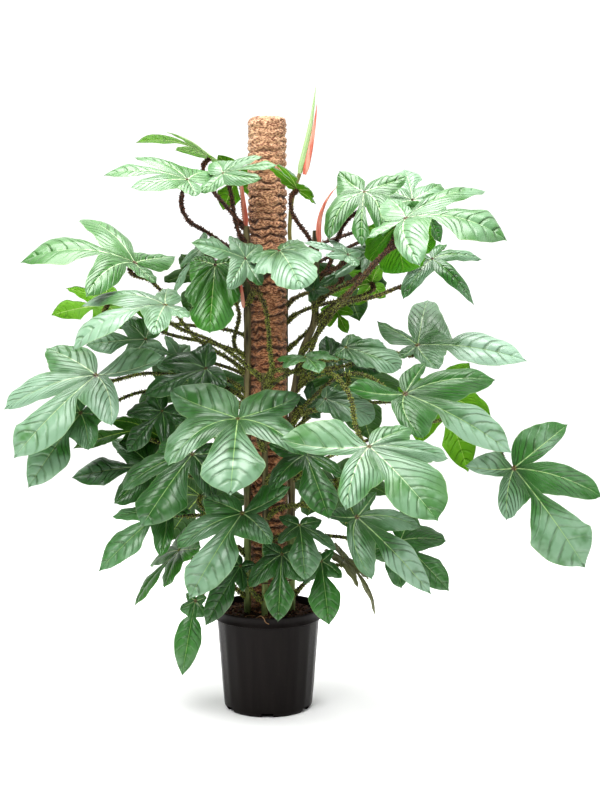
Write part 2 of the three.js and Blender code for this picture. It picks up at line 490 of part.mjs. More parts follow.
// name: base, tip, the way the upper face looks, what differs from SHAPE,
// and the stalk: its stem, the height where it leaves it, and places that it passes
const LEAVES = {
  leaf_top_left_1: { base: [-142, 1382, -50], tip: [-325, 1420, -90], faces: [0, 0.2, 0.97], bend: 55,
    right: [[0.4, 0.6], [0.25, -0.15]], left: [[0.4, 0.5], [0.3, -0.2]], look: "lime",
    stalk: ["left", 1205] },
  leaf_top_left_2: { base: [-198, 1330, 140], tip: [-405, 1340, 165], faces: [0, -0.45, 0.9], bend: 40,
    right: [[0.44, 0.64], [0.5, -0.3]], left: [[0.46, 0.68], [0.4, -0.1]], look: "pale",
    stalk: ["left", 1120, [-135, 1190, -45], [-208, 1250, 80]] },
  leaf_top_left_3: { base: [-110, 1345, 112], tip: [25, 1365, 150], faces: [0.1, -0.6, 0.8],
    right: [[0.4, 0.8], [0.5, -0.3]], left: [[0.3, 0.68], [0.6, -0.3]], look: "pale",
    stalk: ["left", 1170] },
  leaf_top_right_1: { base: [75, 1305, 115], tip: [30, 1365, 230], faces: [0, -0.7, 0.7],
    right: [[0.5, 0.48], [0.4, -0.15]], left: [[0.5, 0.48], [0.4, -0.15]], stalk: ["right", 1150] },
  leaf_top_right_2: { base: [240, 1300, 25], tip: [235, 1165, 120], faces: [-0.2, -0.8, 0.6], bend: 45,
    slim: 0.8, right: [[0.48, 0.86], [0.4, -0.5]], left: [[0.3, 0.88], [0.6, -0.34]], rows: 3,
    look: "pale", stalk: ["right", 1080, [190, 1220, 60]] },
  leaf_top_right_3: { base: [343, 1235, 215], tip: [595, 1180, 262], faces: [0.2, -0.6, 0.75], bend: 60,
    crown: 1.4, right: [[0.71, 0.3], [0.3, -0.3], [0.06, 0.27], [0.1, -0.06]],
    left: [[0.72, 0.66], [0.45, -0.3], [0.06, 0.3], [0.11, 0.04]], rows: 3, look: "pale",
    stalk: ["right", 900, [180, 1020, 110], [270, 1130, 140]] },
  leaf_top_right_4: { base: [320, 1215, 70], tip: [340, 1100, 62], faces: [0, 0.9, 0.2], bend: 40,
    wide: 1.6, right: [[0.42, 0.62], [0.4, -0.1], [0.3, 0.74], [0.44, 0.3]],
    left: [[0.42, 0.62], [0.4, -0.1], [0.3, 0.74], [0.44, 0.3]], look: "dark",
    stalk: ["right", 980, [250, 1100, 66]] },
  leaf_top_right_5: { base: [410, 1135, 20], tip: [515, 1020, 60], faces: [0.1, -0.75, 0.65], bend: 45,
    slim: 1, crown: 0.25, right: [[0.85, 0.22], [0.5, -0.3], [0.16, 0.2], [0.32, -0.08]],
    left: [[0.69, 0.47], [0.42, -0.08], [0.11, 0.18], [0.2, -0.02]], rows: 3,
    stalk: ["right", 870, [160, 1005, 90], [290, 1050, 70]] },
  leaf_upper_1: { base: [30, 1155, 140], tip: [85, 1058, 260], faces: [0, -0.75, 0.65], bend: 40,
    right: [[0.5, 0.44], [0.48, 0.02], [0.3, 0.56], [0.4, 0.2]],
    left: [[0.5, 0.48], [0.36, -0.22], [0.32, 0.6], [0.4, 0.12]], rows: 3, look: "pale",
    stalk: ["left", 1020, [-20, 1080, 100]] },
  leaf_upper_2: { base: [200, 1145, 95], tip: [90, 1175, 95], faces: [0, -0.5, 0.85], wide: 0.7,
    look: "pale", stalk: ["right", 1070] },
  leaf_upper_3: { base: [115, 1060, 70], tip: [170, 1095, 62], faces: [0, -0.9, 0.3], wide: 0.8,
    look: "dark", stalk: ["right", 1000] },
  leaf_upper_4: { base: [260, 1150, -58], tip: [155, 1085, -15], faces: [0, -0.7, 0.7], wide: 0.7,
    look: "pale", stalk: ["right", 1020, [210, 1080, -10]] },
  leaf_upper_5: { base: [-55, 1135, 150], tip: [-190, 1175, 185], faces: [0, -0.7, 0.7],
    right: [[0.4, 0.34], [0.5, -0.3]], left: [[0.76, 0.26], [0.5, -0.34]], look: "pale",
    stalk: ["front", 820, [5, 913, 80], [-6, 1014, 100], [-31, 1066, 125]] },
  leaf_upper_6: { base: [-130, 1120, 95], tip: [-145, 950, 185], faces: [0, -0.9, 0.4], wide: 1.15,
    right: [[0.28, 0.56], [0.26, -0.1], [0.2, 0.66], [0.25, 0.3]],
    left: [[0.3, 0.5], [0.26, -0.1], [0.22, 0.64], [0.24, 0.3]], rows: 3, look: "dark",
    stalk: ["left", 890, [-72, 1005, 40]] },
  leaf_upper_7: { base: [-165, 1160, 28], tip: [-235, 1040, 34], faces: [-0.8, -0.4, 0.5], wide: 0.8,
    look: "pale", stalk: ["left", 1050] },
  leaf_left_1: { base: [-430, 845, 74], tip: [-640, 635, 130], faces: [-0.05, -0.85, 0.5], bend: 30,
    crown: 0.95, right: [[0.37, 0.76], [0.53, 0.12], [0.1, 0.36], [0.31, 0.25]],
    left: [[0.45, 0.23], [0.34, -0.52], [0.05, 0.26], [0.09, -0.06]], rows: 3, look: "pale",
    stalk: ["left", 780, [-290, 850, 25]] },
  leaf_left_2: { base: [-470, 750, 20], tip: [-605, 560, 70], faces: [-0.1, -0.9, 0.3], wide: 1.1,
    crown: 0.9, right: [[0.3, 0.3], [0.2, -0.15]], left: [[0.3, 0.3], [0.2, -0.15]],
    stalk: ["left", 720, [-300, 805, -40]] },
  leaf_left_4: { base: [-330, 1125, -10], tip: [-615, 1125, 10], faces: [0, -0.5, 0.86], bend: 60,
    crown: 1.1, right: [[0.78, 0.54], [0.31, -0.36], [0.06, 0.3], [0.15, 0.02]],
    left: [[0.64, 0.38], [0.22, -0.2], [0.06, 0.32], [0.12, 0.08]], rows: 3, look: "pale",
    stalk: ["left", 850, [-180, 940, 15], [-290, 1080, -25]] },
  leaf_left_5: { base: [-255, 1020, 165], tip: [-490, 905, 215], faces: [-0.3, -0.5, 0.8], bend: 60,
    right: [[0.6, 0.7], [0.4, -0.16], [0.07, 0.34], [0.2, 0.04]],
    left: [[0.51, 0.28], [0.3, -0.14], [0.05, 0.26], [0.24, 0.02]], rows: 3, look: "pale",
    stalk: ["front", 835, [-120, 920, 110]] },
  leaf_left_6: { base: [-225, 890, 8], tip: [-315, 920, 28], look: "pale", stalk: ["left", 800] },
  leaf_left_7: { base: [-155, 862, 66], tip: [-310, 795, 76], right: [[0.36, 0.6], [0.4, -0.2]],
    left: [[0.5, 0.48], [0.4, -0.2]], look: "dark", stalk: ["left", 760] },
  leaf_middle_1: { base: [-75, 735, 205], tip: [-95, 540, 375], bend: 35, slim: 1, crown: 1.5,
    right: [[0.64, 0.66], [0.76, -0.48], [0.19, 0.31], [0.52, -0.04]],
    left: [[0.72, 0.44], [0.62, -0.45], [0.09, 0.25], [0.44, -0.1]], rows: 3,
    stalk: ["front", 660, [-50, 750, 150]] },
  leaf_middle_2: { base: [255, 665, 325], tip: [430, 475, 420], bend: 30, slim: 1,
    right: [[0.61, 0.37], [0.62, -0.6], [0.14, 0.38], [0.17, -0.03]],
    left: [[0.5, 0.59], [0.45, 0.1], [0.3, 0.5], [0.34, 0.2]], rows: 3, look: "pale",
    stalk: ["front", 805, [91, 863, 130], [150, 855, 180], [205, 795, 230], [222, 715, 262]] },
  leaf_middle_3: { base: [100, 760, 0], tip: [110, 830, -10], faces: [0, -0.95, 0.2], look: "dark",
    stalk: ["right", 700] },
  leaf_middle_4: { base: [145, 785, 135], tip: [270, 735, 155],
    right: [[0.34, 0.45], [0.28, -0.08], [0.26, 0.62], [0.26, 0.2]],
    left: [[0.34, 0.45], [0.28, -0.08], [0.26, 0.62], [0.26, 0.2]], look: "pale", stalk: ["right", 720] },
  leaf_right_1: { base: [95, 890, 150], tip: [130, 850, 270], faces: [0, -0.5, 0.85], rows: 3,
    stalk: ["front", 835] },
  leaf_right_2: { base: [195, 915, 60], tip: [335, 862, 100], faces: [0, -0.7, 0.7],
    right: [[0.3, 0.45], [0.24, -0.08], [0.22, 0.62], [0.22, 0.2]],
    left: [[0.34, 0.5], [0.3, -0.05], [0.26, 0.64], [0.28, 0.2]], look: "pale", stalk: ["right", 850] },
  leaf_right_3: { base: [155, 890, -35], tip: [285, 850, 0], faces: [0, -0.7, 0.7], look: "dark",
    stalk: ["right", 800] },
  leaf_right_4: { base: [345, 798, 175], tip: [615, 648, 210], bend: 35, slim: 1, crown: 0.7,
    right: [[0.32, 0.31], [0.2, -0.45], [0.05, 0.32], [0.12, -0.07]],
    left: [[0.51, 0.6], [0.36, 0.02], [0.12, 0.4], [0.14, 0.04]], rows: 3,
    stalk: ["right", 740, [220, 850, 110]] },
  leaf_right_5: { base: [375, 920, 25], tip: [650, 880, 65], faces: [0, -0.65, 0.76], bend: 32, slim: 0.9,
    crown: 0.95, right: [[0.32, 0.24], [0.2, -0.16], [0.07, 0.28], [0.12, -0.02]],
    left: [[0.8, -0.04], [0.26, -0.42], [0.08, 0.31], [0.1, -0.06]], rows: 3,
    stalk: ["right", 820, [200, 870, 20], [310, 900, 0]] },
  leaf_far_right: { base: [620, 610, 40], tip: [805, 355, 60], faces: [0.1, -0.9, 0.45], wide: 1.1,
    crown: 1.25, right: [[0.3, 0.29], [0.3, -0.26], [0.04, 0.27], [0.11, 0]],
    left: [[0.44, 0.64], [0.6, -0.01], [0.05, 0.3], [0.14, 0.06]], rows: 3,
    stalk: ["right", 580, [350, 710, 40], [545, 722, 22]] },
  leaf_low_1: { base: [95, 645, 150], tip: [155, 480, 240], faces: [0, -0.85, 0.5],
    right: [[0.62, 0.35], [0.43, -0.32], [0.1, 0.22], [0.3, -0.05]],
    left: [[0.36, 0.52], [0.42, 0], [0.12, 0.26], [0.22, 0.12]], rows: 3, stalk: ["front", 580] },
  leaf_low_2: { base: [80, 465, 130], tip: [95, 320, 190], bend: 40,
    right: [[0.4, 0.32], [0.34, -0.2], [0.07, 0.22], [0.2, 0.03]],
    left: [[0.57, 0.53], [0.39, -0.06], [0.2, 0.28], [0.26, 0.12]], stalk: ["front", 420] },
  leaf_low_3: { base: [35, 390, 120], tip: [25, 215, 180],
    right: [[0.45, 0.52], [0.28, -0.14], [0.09, 0.35], [0.26, 0.05]],
    left: [[0.35, 0.4], [0.26, -0.14], [0.07, 0.35], [0.18, 0.08]], rows: 3, stalk: ["front", 295] },
  leaf_low_4: { base: [135, 372, 85], tip: [155, 207, 130],
    right: [[0.32, 0.33], [0.2, -0.16], [0.14, 0.27], [0.14, 0.05]],
    left: [[0.29, 0.3], [0.22, -0.16], [0.06, 0.26], [0.13, 0.02]], stalk: ["right", 285] },
  leaf_low_5: { base: [225, 485, 120], tip: [415, 285, 170], bend: 30, slim: 1, crown: 0.55,
    right: [[0.34, 0.52], [0.2, -0.22], [0.06, 0.3], [0.1, -0.02]],
    left: [[0.36, 0.48], [0.32, -0.05], [0.09, 0.29], [0.1, 0.02]], rows: 3,
    stalk: ["front", 490, [90, 515, 90]] },
  leaf_low_left_1: { base: [-65, 495, 190], tip: [-200, 275, 250], bend: 30,
    right: [[0.37, 0.64], [0.42, 0.06], [0.1, 0.32], [0.3, 0.2]],
    left: [[0.43, 0.12], [0.28, -0.48], [0.06, 0.24], [0.12, -0.07]], rows: 3, stalk: ["front", 440] },
  leaf_low_left_2: { base: [-190, 645, 95], tip: [-320, 460, 155], wide: 1.2,
    right: [[0.36, 0.78], [0.31, 0], [0.15, 0.4], [0.3, 0.22]],
    left: [[0.43, 0.33], [0.26, -0.26], [0.08, 0.2], [0.14, -0.04]], rows: 3, stalk: ["left", 580] },
  leaf_low_left_3: { base: [-255, 510, 60], tip: [-430, 345, 110], faces: [0, -0.65, 0.75], crown: 0.75,
    right: [[0.37, 0.5], [0.29, 0], [0.07, 0.3], [0.19, 0.2]],
    left: [[0.42, 0.42], [0.25, -0.14], [0.05, 0.27], [0.12, 0.02]], rows: 3, stalk: ["left", 460] },
  leaf_low_left_4: { base: [-225, 400, 20], tip: [-340, 255, 40], faces: [-0.8, -0.3, 0.5],
    stalk: ["left", 390] },
  leaf_low_left_5: { base: [-265, 755, 10], tip: [-355, 650, 34], look: "dark", stalk: ["left", 640] },
  leaf_low_left_6: { base: [-185, 270, 60], tip: [-220, 75, 90], crown: 0.7,
    right: [[0.18, 0.15], [0.14, -0.08], [0.06, 0.22], [0.1, 0.03]],
    left: [[0.16, 0.18], [0.14, -0.08], [0.05, 0.22], [0.1, 0.03]],
    stalk: ["left", 285, [-125, 335, 50]] },
  leaf_low_left_7: { base: [-70, 360, 90], tip: [-160, 205, 120], crown: 0.75,
    right: [[0.29, 0.3], [0.24, -0.12], [0.08, 0.24], [0.14, 0.05]],
    left: [[0.24, 0.3], [0.18, -0.14], [0.06, 0.24], [0.12, 0.05]], look: "dark", stalk: ["front", 280] },
  dried_leaf: { base: [190, 380, 26], tip: [272, 230, 40], faces: [0.6, -0.6, 0.5], bend: 60, wide: 0.4,
    arch: 100, fold: 0, look: "dry", stalk: ["right", 385] },
};

// Leaves that stand behind the pole, in one piece with their own stem.
const BEHIND = [0, 0.8, 0.6];
const SHOOTS = {
  backLeft: [
    { base: [-70, 1345, -150], tip: [-110, 1255, -175], faces: [-0.2, 0.8, 0.3], wide: 1.4, from: 1130 },
    { base: [-400, 1020, -90], tip: [-540, 995, -120], faces: [0, 0.6, 0.7], wide: 1.2, from: 920 },
    { base: [-280, 985, -60], tip: [-385, 965, -40], faces: [0, 0.6, 0.7], from: 870 },
    { base: [-305, 935, -10], tip: [-455, 920, 0], faces: [0, -0.9, 0.5], from: 820 },
    { base: [-305, 710, -82], tip: [-490, 660, -60], faces: [0, 0.5, 0.8], from: 620 },
    { base: [-295, 615, -75], tip: [-495, 585, -70], faces: [0, -0.7, 0.7], from: 540 },
    { base: [-140, 1095, -180], tip: [-200, 995, -330], faces: BEHIND, from: 1020 },
    { base: [-180, 820, -240], tip: [-230, 660, -400], faces: BEHIND, from: 720 },
    { base: [-170, 540, -150], tip: [-260, 420, -280], faces: BEHIND, from: 420 },
  ],
  backRight: [
    { base: [360, 1280, -60], tip: [340, 1355, -200], faces: [0, -0.3, 0.95], from: 1120 },
    { base: [390, 1260, -40], tip: [430, 1175, -40], faces: [0.3, -0.9, 0.4], from: 1070 },
    { base: [260, 1075, -120], tip: [155, 1045, -110], faces: [0, 0.7, 0.6], from: 970 },
    { base: [170, 1010, -80], tip: [200, 950, -60], faces: [0, 0.9, 0.2], from: 900 },
    { base: [435, 795, -60], tip: [505, 600, -40], faces: [0.3, 0.8, 0.3], from: 720 },
    { base: [335, 425, 40], tip: [460, 295, 60], from: 400 },
    { base: [180, 1100, -140], tip: [230, 980, -280], faces: BEHIND, from: 1010 },
    { base: [200, 840, -220], tip: [260, 680, -380], faces: BEHIND, from: 670 },
    { base: [170, 580, -160], tip: [240, 440, -300], faces: BEHIND, from: 470 },
  ],
};

function union(solids) {
  return toGeometry(solids.reduce((whole, solid) => whole.add(solid)));
}

const BLACK_PLASTIC = material(0x1e1c1e, 0.35);
const BARK = material(0x5f4a34, 0.8);

addPiece("pot", makePot(), BLACK_PLASTIC);
addPiece("soil", makeSoil(), material(0x3a1a0c, 1));
const coreTop = POLE.top - POLE.capDepth - GAP;
const core = cylinder(POLE.coreRadius - GAP, POT.floor + GAP, coreTop, POLE.sides);
addPiece("pole_core", core, material(0x8a6a44, 0.8));
addPiece("coir_wrap", makeCoir(), material(0x9c6b4c, 1));
TIE.heights.forEach((height, index) => {
  addPiece(`tie_${index + 1}`, makeTie(height), material(0x4a2f1c, 0.7));
});

const byStem = { left: [], front: [], right: [] };
for (const [name, own] of Object.entries(LEAVES)) {
  const leaf = { ...SHAPE, ...own };
  addPiece(name, thicken(bladeSheet(leaf), BLADE.thickness), material(LOOKS[leaf.look], 0.45));
  byStem[leaf.stalk[0]].push(makeStalk(leaf, -BLADE.thickness / 2 - SEAT_GAP, STALK.sides, STALK.bristle));
}
const newStalk = [stemPoint("right", NEW_STALK.root)];
newStalk.push(...NEW_STALK.line.map((point) => new THREE.Vector3(...point)));
byStem.right.push(toSolid(tube(newStalk, NEW_STALK.radius, STALK.sides, NEW_STALK.step, 0)));
for (const [name, stalks] of Object.entries(byStem)) {
  addPiece(`stem_${name}`, union([makeStem(name), ...stalks]), BARK);
}

for (const [stem, leaves] of Object.entries(SHOOTS)) {
  const solids = [makeStem(stem)];
  for (const own of leaves) {
    const leaf = { ...SHAPE, ...own, stalk: [stem, own.from] };
    solids.push(makeStalk(leaf, BLADE.thickness / 4, 3, 0));
    solids.push(toSolid(thicken(bladeSheet(leaf), BLADE.thickness)));
  }
  const name = stem === "backLeft" ? "shoot_back_left" : "shoot_back_right";
  addPiece(name, union(solids), material(LOOKS.dark, 0.5));
}

addPiece("new_leaf_spear", makeSpindle(NEW_LEAF), material(0xbfd3a4, 0.45));
for (const [name, sheath] of Object.entries(SHEATHS)) {
  addPiece(name, makeSpindle(sheath), material(0xd79a86, 0.5));
}

export default part;
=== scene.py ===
# %% [markdown]
# # A climbing philodendron with bristly leaf stalks, on a coir pole
# The plant stands in a black nursery pot. Some sixty leaves, each cut into five lobes, hang from long
# stalks that are covered in soft scales, and the stems climb a pole wrapped in coir.
# The plain solids of every piece are already there, in metres, with +Z up and the front facing -Y.
# This lesson dresses them: it models the fine surface of each piece where its solid stands.

# %% Open the frame
import math

import bpy
import numpy as np
from mathutils import Matrix, Vector, noise


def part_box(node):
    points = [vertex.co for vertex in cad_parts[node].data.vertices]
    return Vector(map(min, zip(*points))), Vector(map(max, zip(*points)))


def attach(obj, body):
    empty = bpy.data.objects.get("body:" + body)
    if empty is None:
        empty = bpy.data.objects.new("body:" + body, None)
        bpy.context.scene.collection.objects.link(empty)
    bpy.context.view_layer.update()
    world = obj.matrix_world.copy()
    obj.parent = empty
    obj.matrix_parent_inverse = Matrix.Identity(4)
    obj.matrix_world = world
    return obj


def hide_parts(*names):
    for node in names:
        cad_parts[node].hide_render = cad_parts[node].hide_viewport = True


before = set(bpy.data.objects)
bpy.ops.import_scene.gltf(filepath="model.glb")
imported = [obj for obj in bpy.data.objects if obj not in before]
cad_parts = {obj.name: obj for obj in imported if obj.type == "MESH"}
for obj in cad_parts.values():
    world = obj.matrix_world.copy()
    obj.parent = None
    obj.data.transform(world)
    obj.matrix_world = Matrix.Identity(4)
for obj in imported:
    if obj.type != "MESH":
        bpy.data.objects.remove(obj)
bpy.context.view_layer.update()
scene = bpy.context.scene

# %% [markdown]
# ## Camera, floor and light
# The photograph was taken from the front, a little above the middle of the plant, with a long lens.
# The plant was lit from all round, with most of the light from above, so the leaves that face up
# look pale and glossy. Three large area lights give the same soft look, with a sky that is dim on the
# viewer's side and bright behind the plant. What the camera sees of the sky itself is plain white, so the
# white floor runs into it without an edge.

# %% Camera
EYE = Vector((0.081, -3.5, 1.1))
AIM = Vector((0.081, 0, 0.7827))
camera_data = bpy.data.cameras.new("photo_camera")
camera_data.lens = 63
camera_data.sensor_width = 36
camera = bpy.data.objects.new("photo_camera", camera_data)
camera.location = EYE
camera.rotation_euler = (AIM - EYE).to_track_quat("-Z", "Y").to_euler()
scene.collection.objects.link(camera)
scene.camera = camera
print("camera looks down by", round(math.degrees(math.atan2(EYE.z - AIM.z, AIM.y - EYE.y)), 2), "degrees")

# %% Mesh helpers
MERGE, BLADE_MERGE, SLEEVE_MERGE = 0.00002, 0.00005, 0.00004


def deselect_all():
    bpy.ops.object.select_all(action="DESELECT")


def activate(piece):
    """Selects one piece and makes it the active one."""
    deselect_all()
    piece.select_set(True)
    bpy.context.view_layer.objects.active = piece


def merge_and_turn(threshold, close=None):
    """Merges points of the active piece that lie together, may close its holes, and turns its faces out."""
    bpy.ops.object.mode_set(mode="EDIT")
    bpy.ops.mesh.select_all(action="SELECT")
    bpy.ops.mesh.remove_doubles(threshold=threshold)
    if close:
        bpy.ops.mesh.select_all(action="DESELECT")
        bpy.ops.mesh.select_non_manifold()
        close()
        bpy.ops.mesh.select_all(action="SELECT")
    bpy.ops.mesh.normals_make_consistent(inside=False)
    bpy.ops.object.mode_set(mode="OBJECT")


def triangles(piece):
    return sum(len(face.vertices) - 2 for face in piece.data.polygons)


print("points closer than this become one, in metres:", MERGE)

# %% Floor and lights
FLOOR_SIZE = 6.4
SKY_TURN = (-0.2, 0.6)
SKY_STRENGTH = (0.22, 1.02)
LIGHT_AIM = Vector((0, 0, 0.8))
LIGHTS = {
    "top_light": dict(place=(-0.2, -0.2, 4.4), size=3.6, power=285),
    "front_light": dict(place=(-1.3, -3.0, 3.4), size=2.2, power=90),
    "right_light": dict(place=(3.0, -1.4, 2.4), size=2.0, power=20),
}


def area_light(name, place, size, power):
    """A square soft light that looks at the middle of the plant."""
    data = bpy.data.lights.new(name, "AREA")
    data.size = size
    data.energy = power
    light = bpy.data.objects.new(name, data)
    light.location = place
    light.rotation_euler = (LIGHT_AIM - Vector(place)).to_track_quat("-Z", "Y").to_euler()
    scene.collection.objects.link(light)


def soft_sky():
    """A white sky whose strength rises from the viewer's side to the far side, and is full for the camera."""
    world = bpy.data.worlds.new("soft_sky")
    world.use_nodes = True
    nodes, links = world.node_tree.nodes, world.node_tree.links
    nodes["Background"].inputs["Color"].default_value = (1, 1, 1, 1)
    axes = nodes.new("ShaderNodeSeparateXYZ")
    ramp = nodes.new("ShaderNodeMapRange")
    ramp.interpolation_type = "SMOOTHSTEP"
    for socket, value in zip(("From Min", "From Max", "To Min", "To Max"), (*SKY_TURN, *SKY_STRENGTH)):
        ramp.inputs[socket].default_value = value
    strength = nodes.new("ShaderNodeMath")
    strength.operation = "MAXIMUM"
    links.new(nodes.new("ShaderNodeTexCoord").outputs["Object"], axes.inputs[0])
    links.new(axes.outputs[1], ramp.inputs["Value"])
    links.new(ramp.outputs["Result"], strength.inputs[0])
    links.new(nodes.new("ShaderNodeLightPath").outputs["Is Camera Ray"], strength.inputs[1])
    links.new(strength.outputs[0], nodes["Background"].inputs["Strength"])
    return world


deselect_all()
bpy.ops.mesh.primitive_plane_add(size=FLOOR_SIZE)
floor = bpy.context.object
floor.name = "studio_floor"
paper = bpy.data.materials.new("studio_floor")
paper.use_nodes = True
paper.node_tree.nodes["Principled BSDF"].inputs["Base Color"].default_value = (1, 1, 1, 1)
paper.node_tree.nodes["Principled BSDF"].inputs["Roughness"].default_value = 0.9
floor.data.materials.append(paper)

scene.world = soft_sky()
scene.view_settings.view_transform = "Standard"
scene.view_settings.look = "Medium High Contrast"
for name, light in LIGHTS.items():
    area_light(name, **light)
print("lights:", list(LIGHTS))

# %% [markdown]
# ## Driving sizes
# Places on the plant are written in millimetres, as a grower would measure them against the photograph:
# to the right of the pot's axis, up from the floor, and toward the viewer. `place` slides such a point
# along the line of sight, so a change of depth never moves it in the photograph's view.

# %% Sizes and places
MM = 0.001
SEED = 7
rng = np.random.default_rng(SEED)
POT = dict(rim_radius=136, band_drop=28, body_radius=130, base_radius=112, height=258, wall=2.2, floor=2.5,
           chamfer_width=6, chamfer_height=10, foot_height=6, foot_width=22, channels=6, channel_width=30)
SOIL = dict(top=240, mound=10)
COIR_RADIUS = 46.5
STEM_RADIUS = 8.5
STALK_RADIUS = 4.5
BLADE_THICKNESS = 1.0


def mm(*numbers):
    """Millimetres as metres."""
    return np.array(numbers, float) * MM


def place(spot):
    """A place in the frame for millimetres to the right, up and toward the viewer."""
    right, up, toward = spot
    eye = np.array(EYE)
    return eye + (mm(right, 0, up) - eye) * (1 + toward * MM / EYE.y)


print("a point 100 mm toward the viewer:", place((0, 800, 100)).round(4))

# %% [markdown]
# ## Materials
# A finish is a small network of nodes. Colour never comes as one flat value: a noise pattern on the
# object's own coordinates mixes two or three tones, and the same pattern drives the roughness or a bump.
# The helper below builds the part that all of them share, and each finish adds what is special to it.

# %% Material helpers
class Finish:
    """A material with short calls for adding and joining its nodes."""

    def __init__(self, name, roughness, coat=0.0, sheen=0.0):
        self.material = bpy.data.materials.new(name)
        self.material.use_nodes = True
        self.tree = self.material.node_tree
        self.shader = self.tree.nodes["Principled BSDF"]
        self.shader.inputs["Roughness"].default_value = roughness
        self.shader.inputs["Coat Weight"].default_value = coat
        self.shader.inputs["Coat Roughness"].default_value = 0.2
        self.shader.inputs["Sheen Weight"].default_value = sheen
        self.place = self.tree.nodes.new("ShaderNodeTexCoord").outputs["Object"]

    def join(self, source, socket):
        self.tree.links.new(source, socket)

    def node(self, kind, inputs=(), **settings):
        made = self.tree.nodes.new(kind)
        for key, value in settings.items():
            setattr(made, key, value)
        for key, value in dict(inputs).items():
            if isinstance(value, bpy.types.NodeSocket):
                self.join(value, made.inputs[key])
            else:
                made.inputs[key].default_value = value
        return made

    def height(self):
        """How high a point stands, in metres."""
        return self.node("ShaderNodeSeparateXYZ", {0: self.place}).outputs[2]

    def attribute(self, name, output="Fac"):
        return self.node("ShaderNodeAttribute", attribute_name=name).outputs[output]

    def noise(self, scale, detail=4.0, stretch=(1, 1, 1)):
        mapped = self.node("ShaderNodeMapping", {"Vector": self.place, "Scale": stretch})
        inputs = {"Vector": mapped.outputs[0], "Scale": scale, "Detail": detail}
        return self.node("ShaderNodeTexNoise", inputs).outputs["Fac"]

    def math(self, operation, first, second=0.0, third=0.0, clamp=False):
        inputs = {0: first, 1: second, 2: third}
        return self.node("ShaderNodeMath", inputs, operation=operation, use_clamp=clamp).outputs[0]

    def smooth(self, value, low, high, to_low=0.0, to_high=1.0):
        """Leads a value softly from one limit to the other."""
        inputs = {"Value": value, "From Min": low, "From Max": high, "To Min": to_low, "To Max": to_high}
        return self.node("ShaderNodeMapRange", inputs, interpolation_type="SMOOTHSTEP").outputs["Result"]

    def mix(self, share, first, second, blend_type="MIX"):
        made = self.node("ShaderNodeMix", data_type="RGBA", blend_type=blend_type, clamp_factor=True)
        for index, value in ((0, share), (6, first), (7, second)):
            if isinstance(value, bpy.types.NodeSocket):
                self.join(value, made.inputs[index])
            else:
                made.inputs[index].default_value = value
        return made.outputs[2]

    def colour(self, socket):
        self.join(socket, self.shader.inputs["Base Color"])

    def bump(self, height, distance, strength=1.0):
        made = self.node("ShaderNodeBump", {"Height": height, "Distance": distance, "Strength": strength})
        self.join(made.outputs["Normal"], self.shader.inputs["Normal"])


def rgb(code):
    """A colour as it shows on a screen, such as 0x2c5a2c, in the linear values that shaders use."""
    tones = [((code >> shift) & 255) / 255 for shift in (16, 8, 0)]
    return (*[tone / 12.92 if tone <= 0.04045 else ((tone + 0.055) / 1.055) ** 2.4 for tone in tones], 1)


def two_toned(name, roughness, tones, scale, relief=None, limits=None, detail=4.0, stretch=(1, 1, 1),
              **gloss):
    """A material whose two tones follow one noise pattern, which also raises it where a relief is given."""
    finish = Finish(name, roughness, **gloss)
    pattern = finish.noise(scale, detail, stretch)
    share = finish.smooth(pattern, *limits) if limits else pattern
    finish.colour(finish.mix(share, rgb(tones[0]), rgb(tones[1])))
    if relief:
        finish.bump(pattern, *relief)
    return finish.material


print("leaf green in linear light:", [round(tone, 3) for tone in rgb(0x3f7d42)])

# %% [markdown]
# ## Leaf finish
# Each blade carries its own coordinates. The UV map holds how far a point lies across a lobe, from its
# main vein (0) to its edge (1), and which side vein it is near, as a number that grows by one from vein to
# vein. The attribute `blade` holds the distance to the main vein, in widths of that vein, the distance to
# the joint, and a tone of its own for each leaf. A further attribute holds how much painted sheen a place
# gets: pale grey-green painted over the upper side where it would reflect the lights.
# A crease runs along each side vein, broken here and there, and between two creases lies a raised cushion
# that is painted lighter, a painted highlight, so that the creases read as painted shade. The painted sheen
# fades in the creases. The underside is a flatter, brighter green.

# %% Leaf materials
# The pale look is the leaf green painted lighter and greyer, as painted sheen on the leaves that catch most
# light.
UPPER_TONES = {
    "pale": (rgb(0x20560e), rgb(0x467e34), rgb(0xb4cc9c)),
    "mid": (rgb(0x144604), rgb(0x2f7416), rgb(0x94b474)),
    "dark": (rgb(0x0e3c02), rgb(0x205e0b), rgb(0x6c9454)),
    "fresh": (rgb(0x1f5a06), rgb(0x3f8416), rgb(0xb4cc88)),
    "lime": (rgb(0x54782c), rgb(0x84a45a), rgb(0xb8cc8c)),
    "dry": (rgb(0x30321a), rgb(0x76794a), rgb(0x8f8a60)),
}
# The lime and deep undersides are painted brighter than their own green, as painted light shining through the
# blade into its shade.
UNDER_TONES = {
    "lime": (rgb(0x559410), rgb(0x86c828), rgb(0xcce08c)),
    "olive": (rgb(0x24500a), rgb(0x3b6a10), rgb(0x8ca848)),
    "deep": (rgb(0x4a9210), rgb(0x88c42c), rgb(0xb4d868)),
}
# The cushions between the creases are painted lighter, by a share for each side: a painted highlight.
UPPER_SIDE = dict(coat=0.3, specular=0.7, roughness=0.365, cushion_painted_highlight=0.45, relief=1.0)
UNDER_SIDE = dict(coat=0.05, specular=0.3, roughness=0.46, cushion_painted_highlight=0.25, relief=-1.0)
MARGIN = rgb(0x8fae70)
JOINT_SPOT = rgb(0x6a2a1a)
# Pale grey-green painted over the upper side: painted sheen, standing in for the reflection of the lights.
PAINTED_SHEEN_TONE = rgb(0x92b299)
CREASE_FROM, CREASE_FULL = 0.3, 0.5
# How much of the painted sheen is taken out in the creases.
CREASE_SHEEN_LOSS = 0.7
SIDE_VEIN_SHARE = 0.22
SIDE_VEIN_DIP = 0.12
BUMP_DEPTH = 0.003


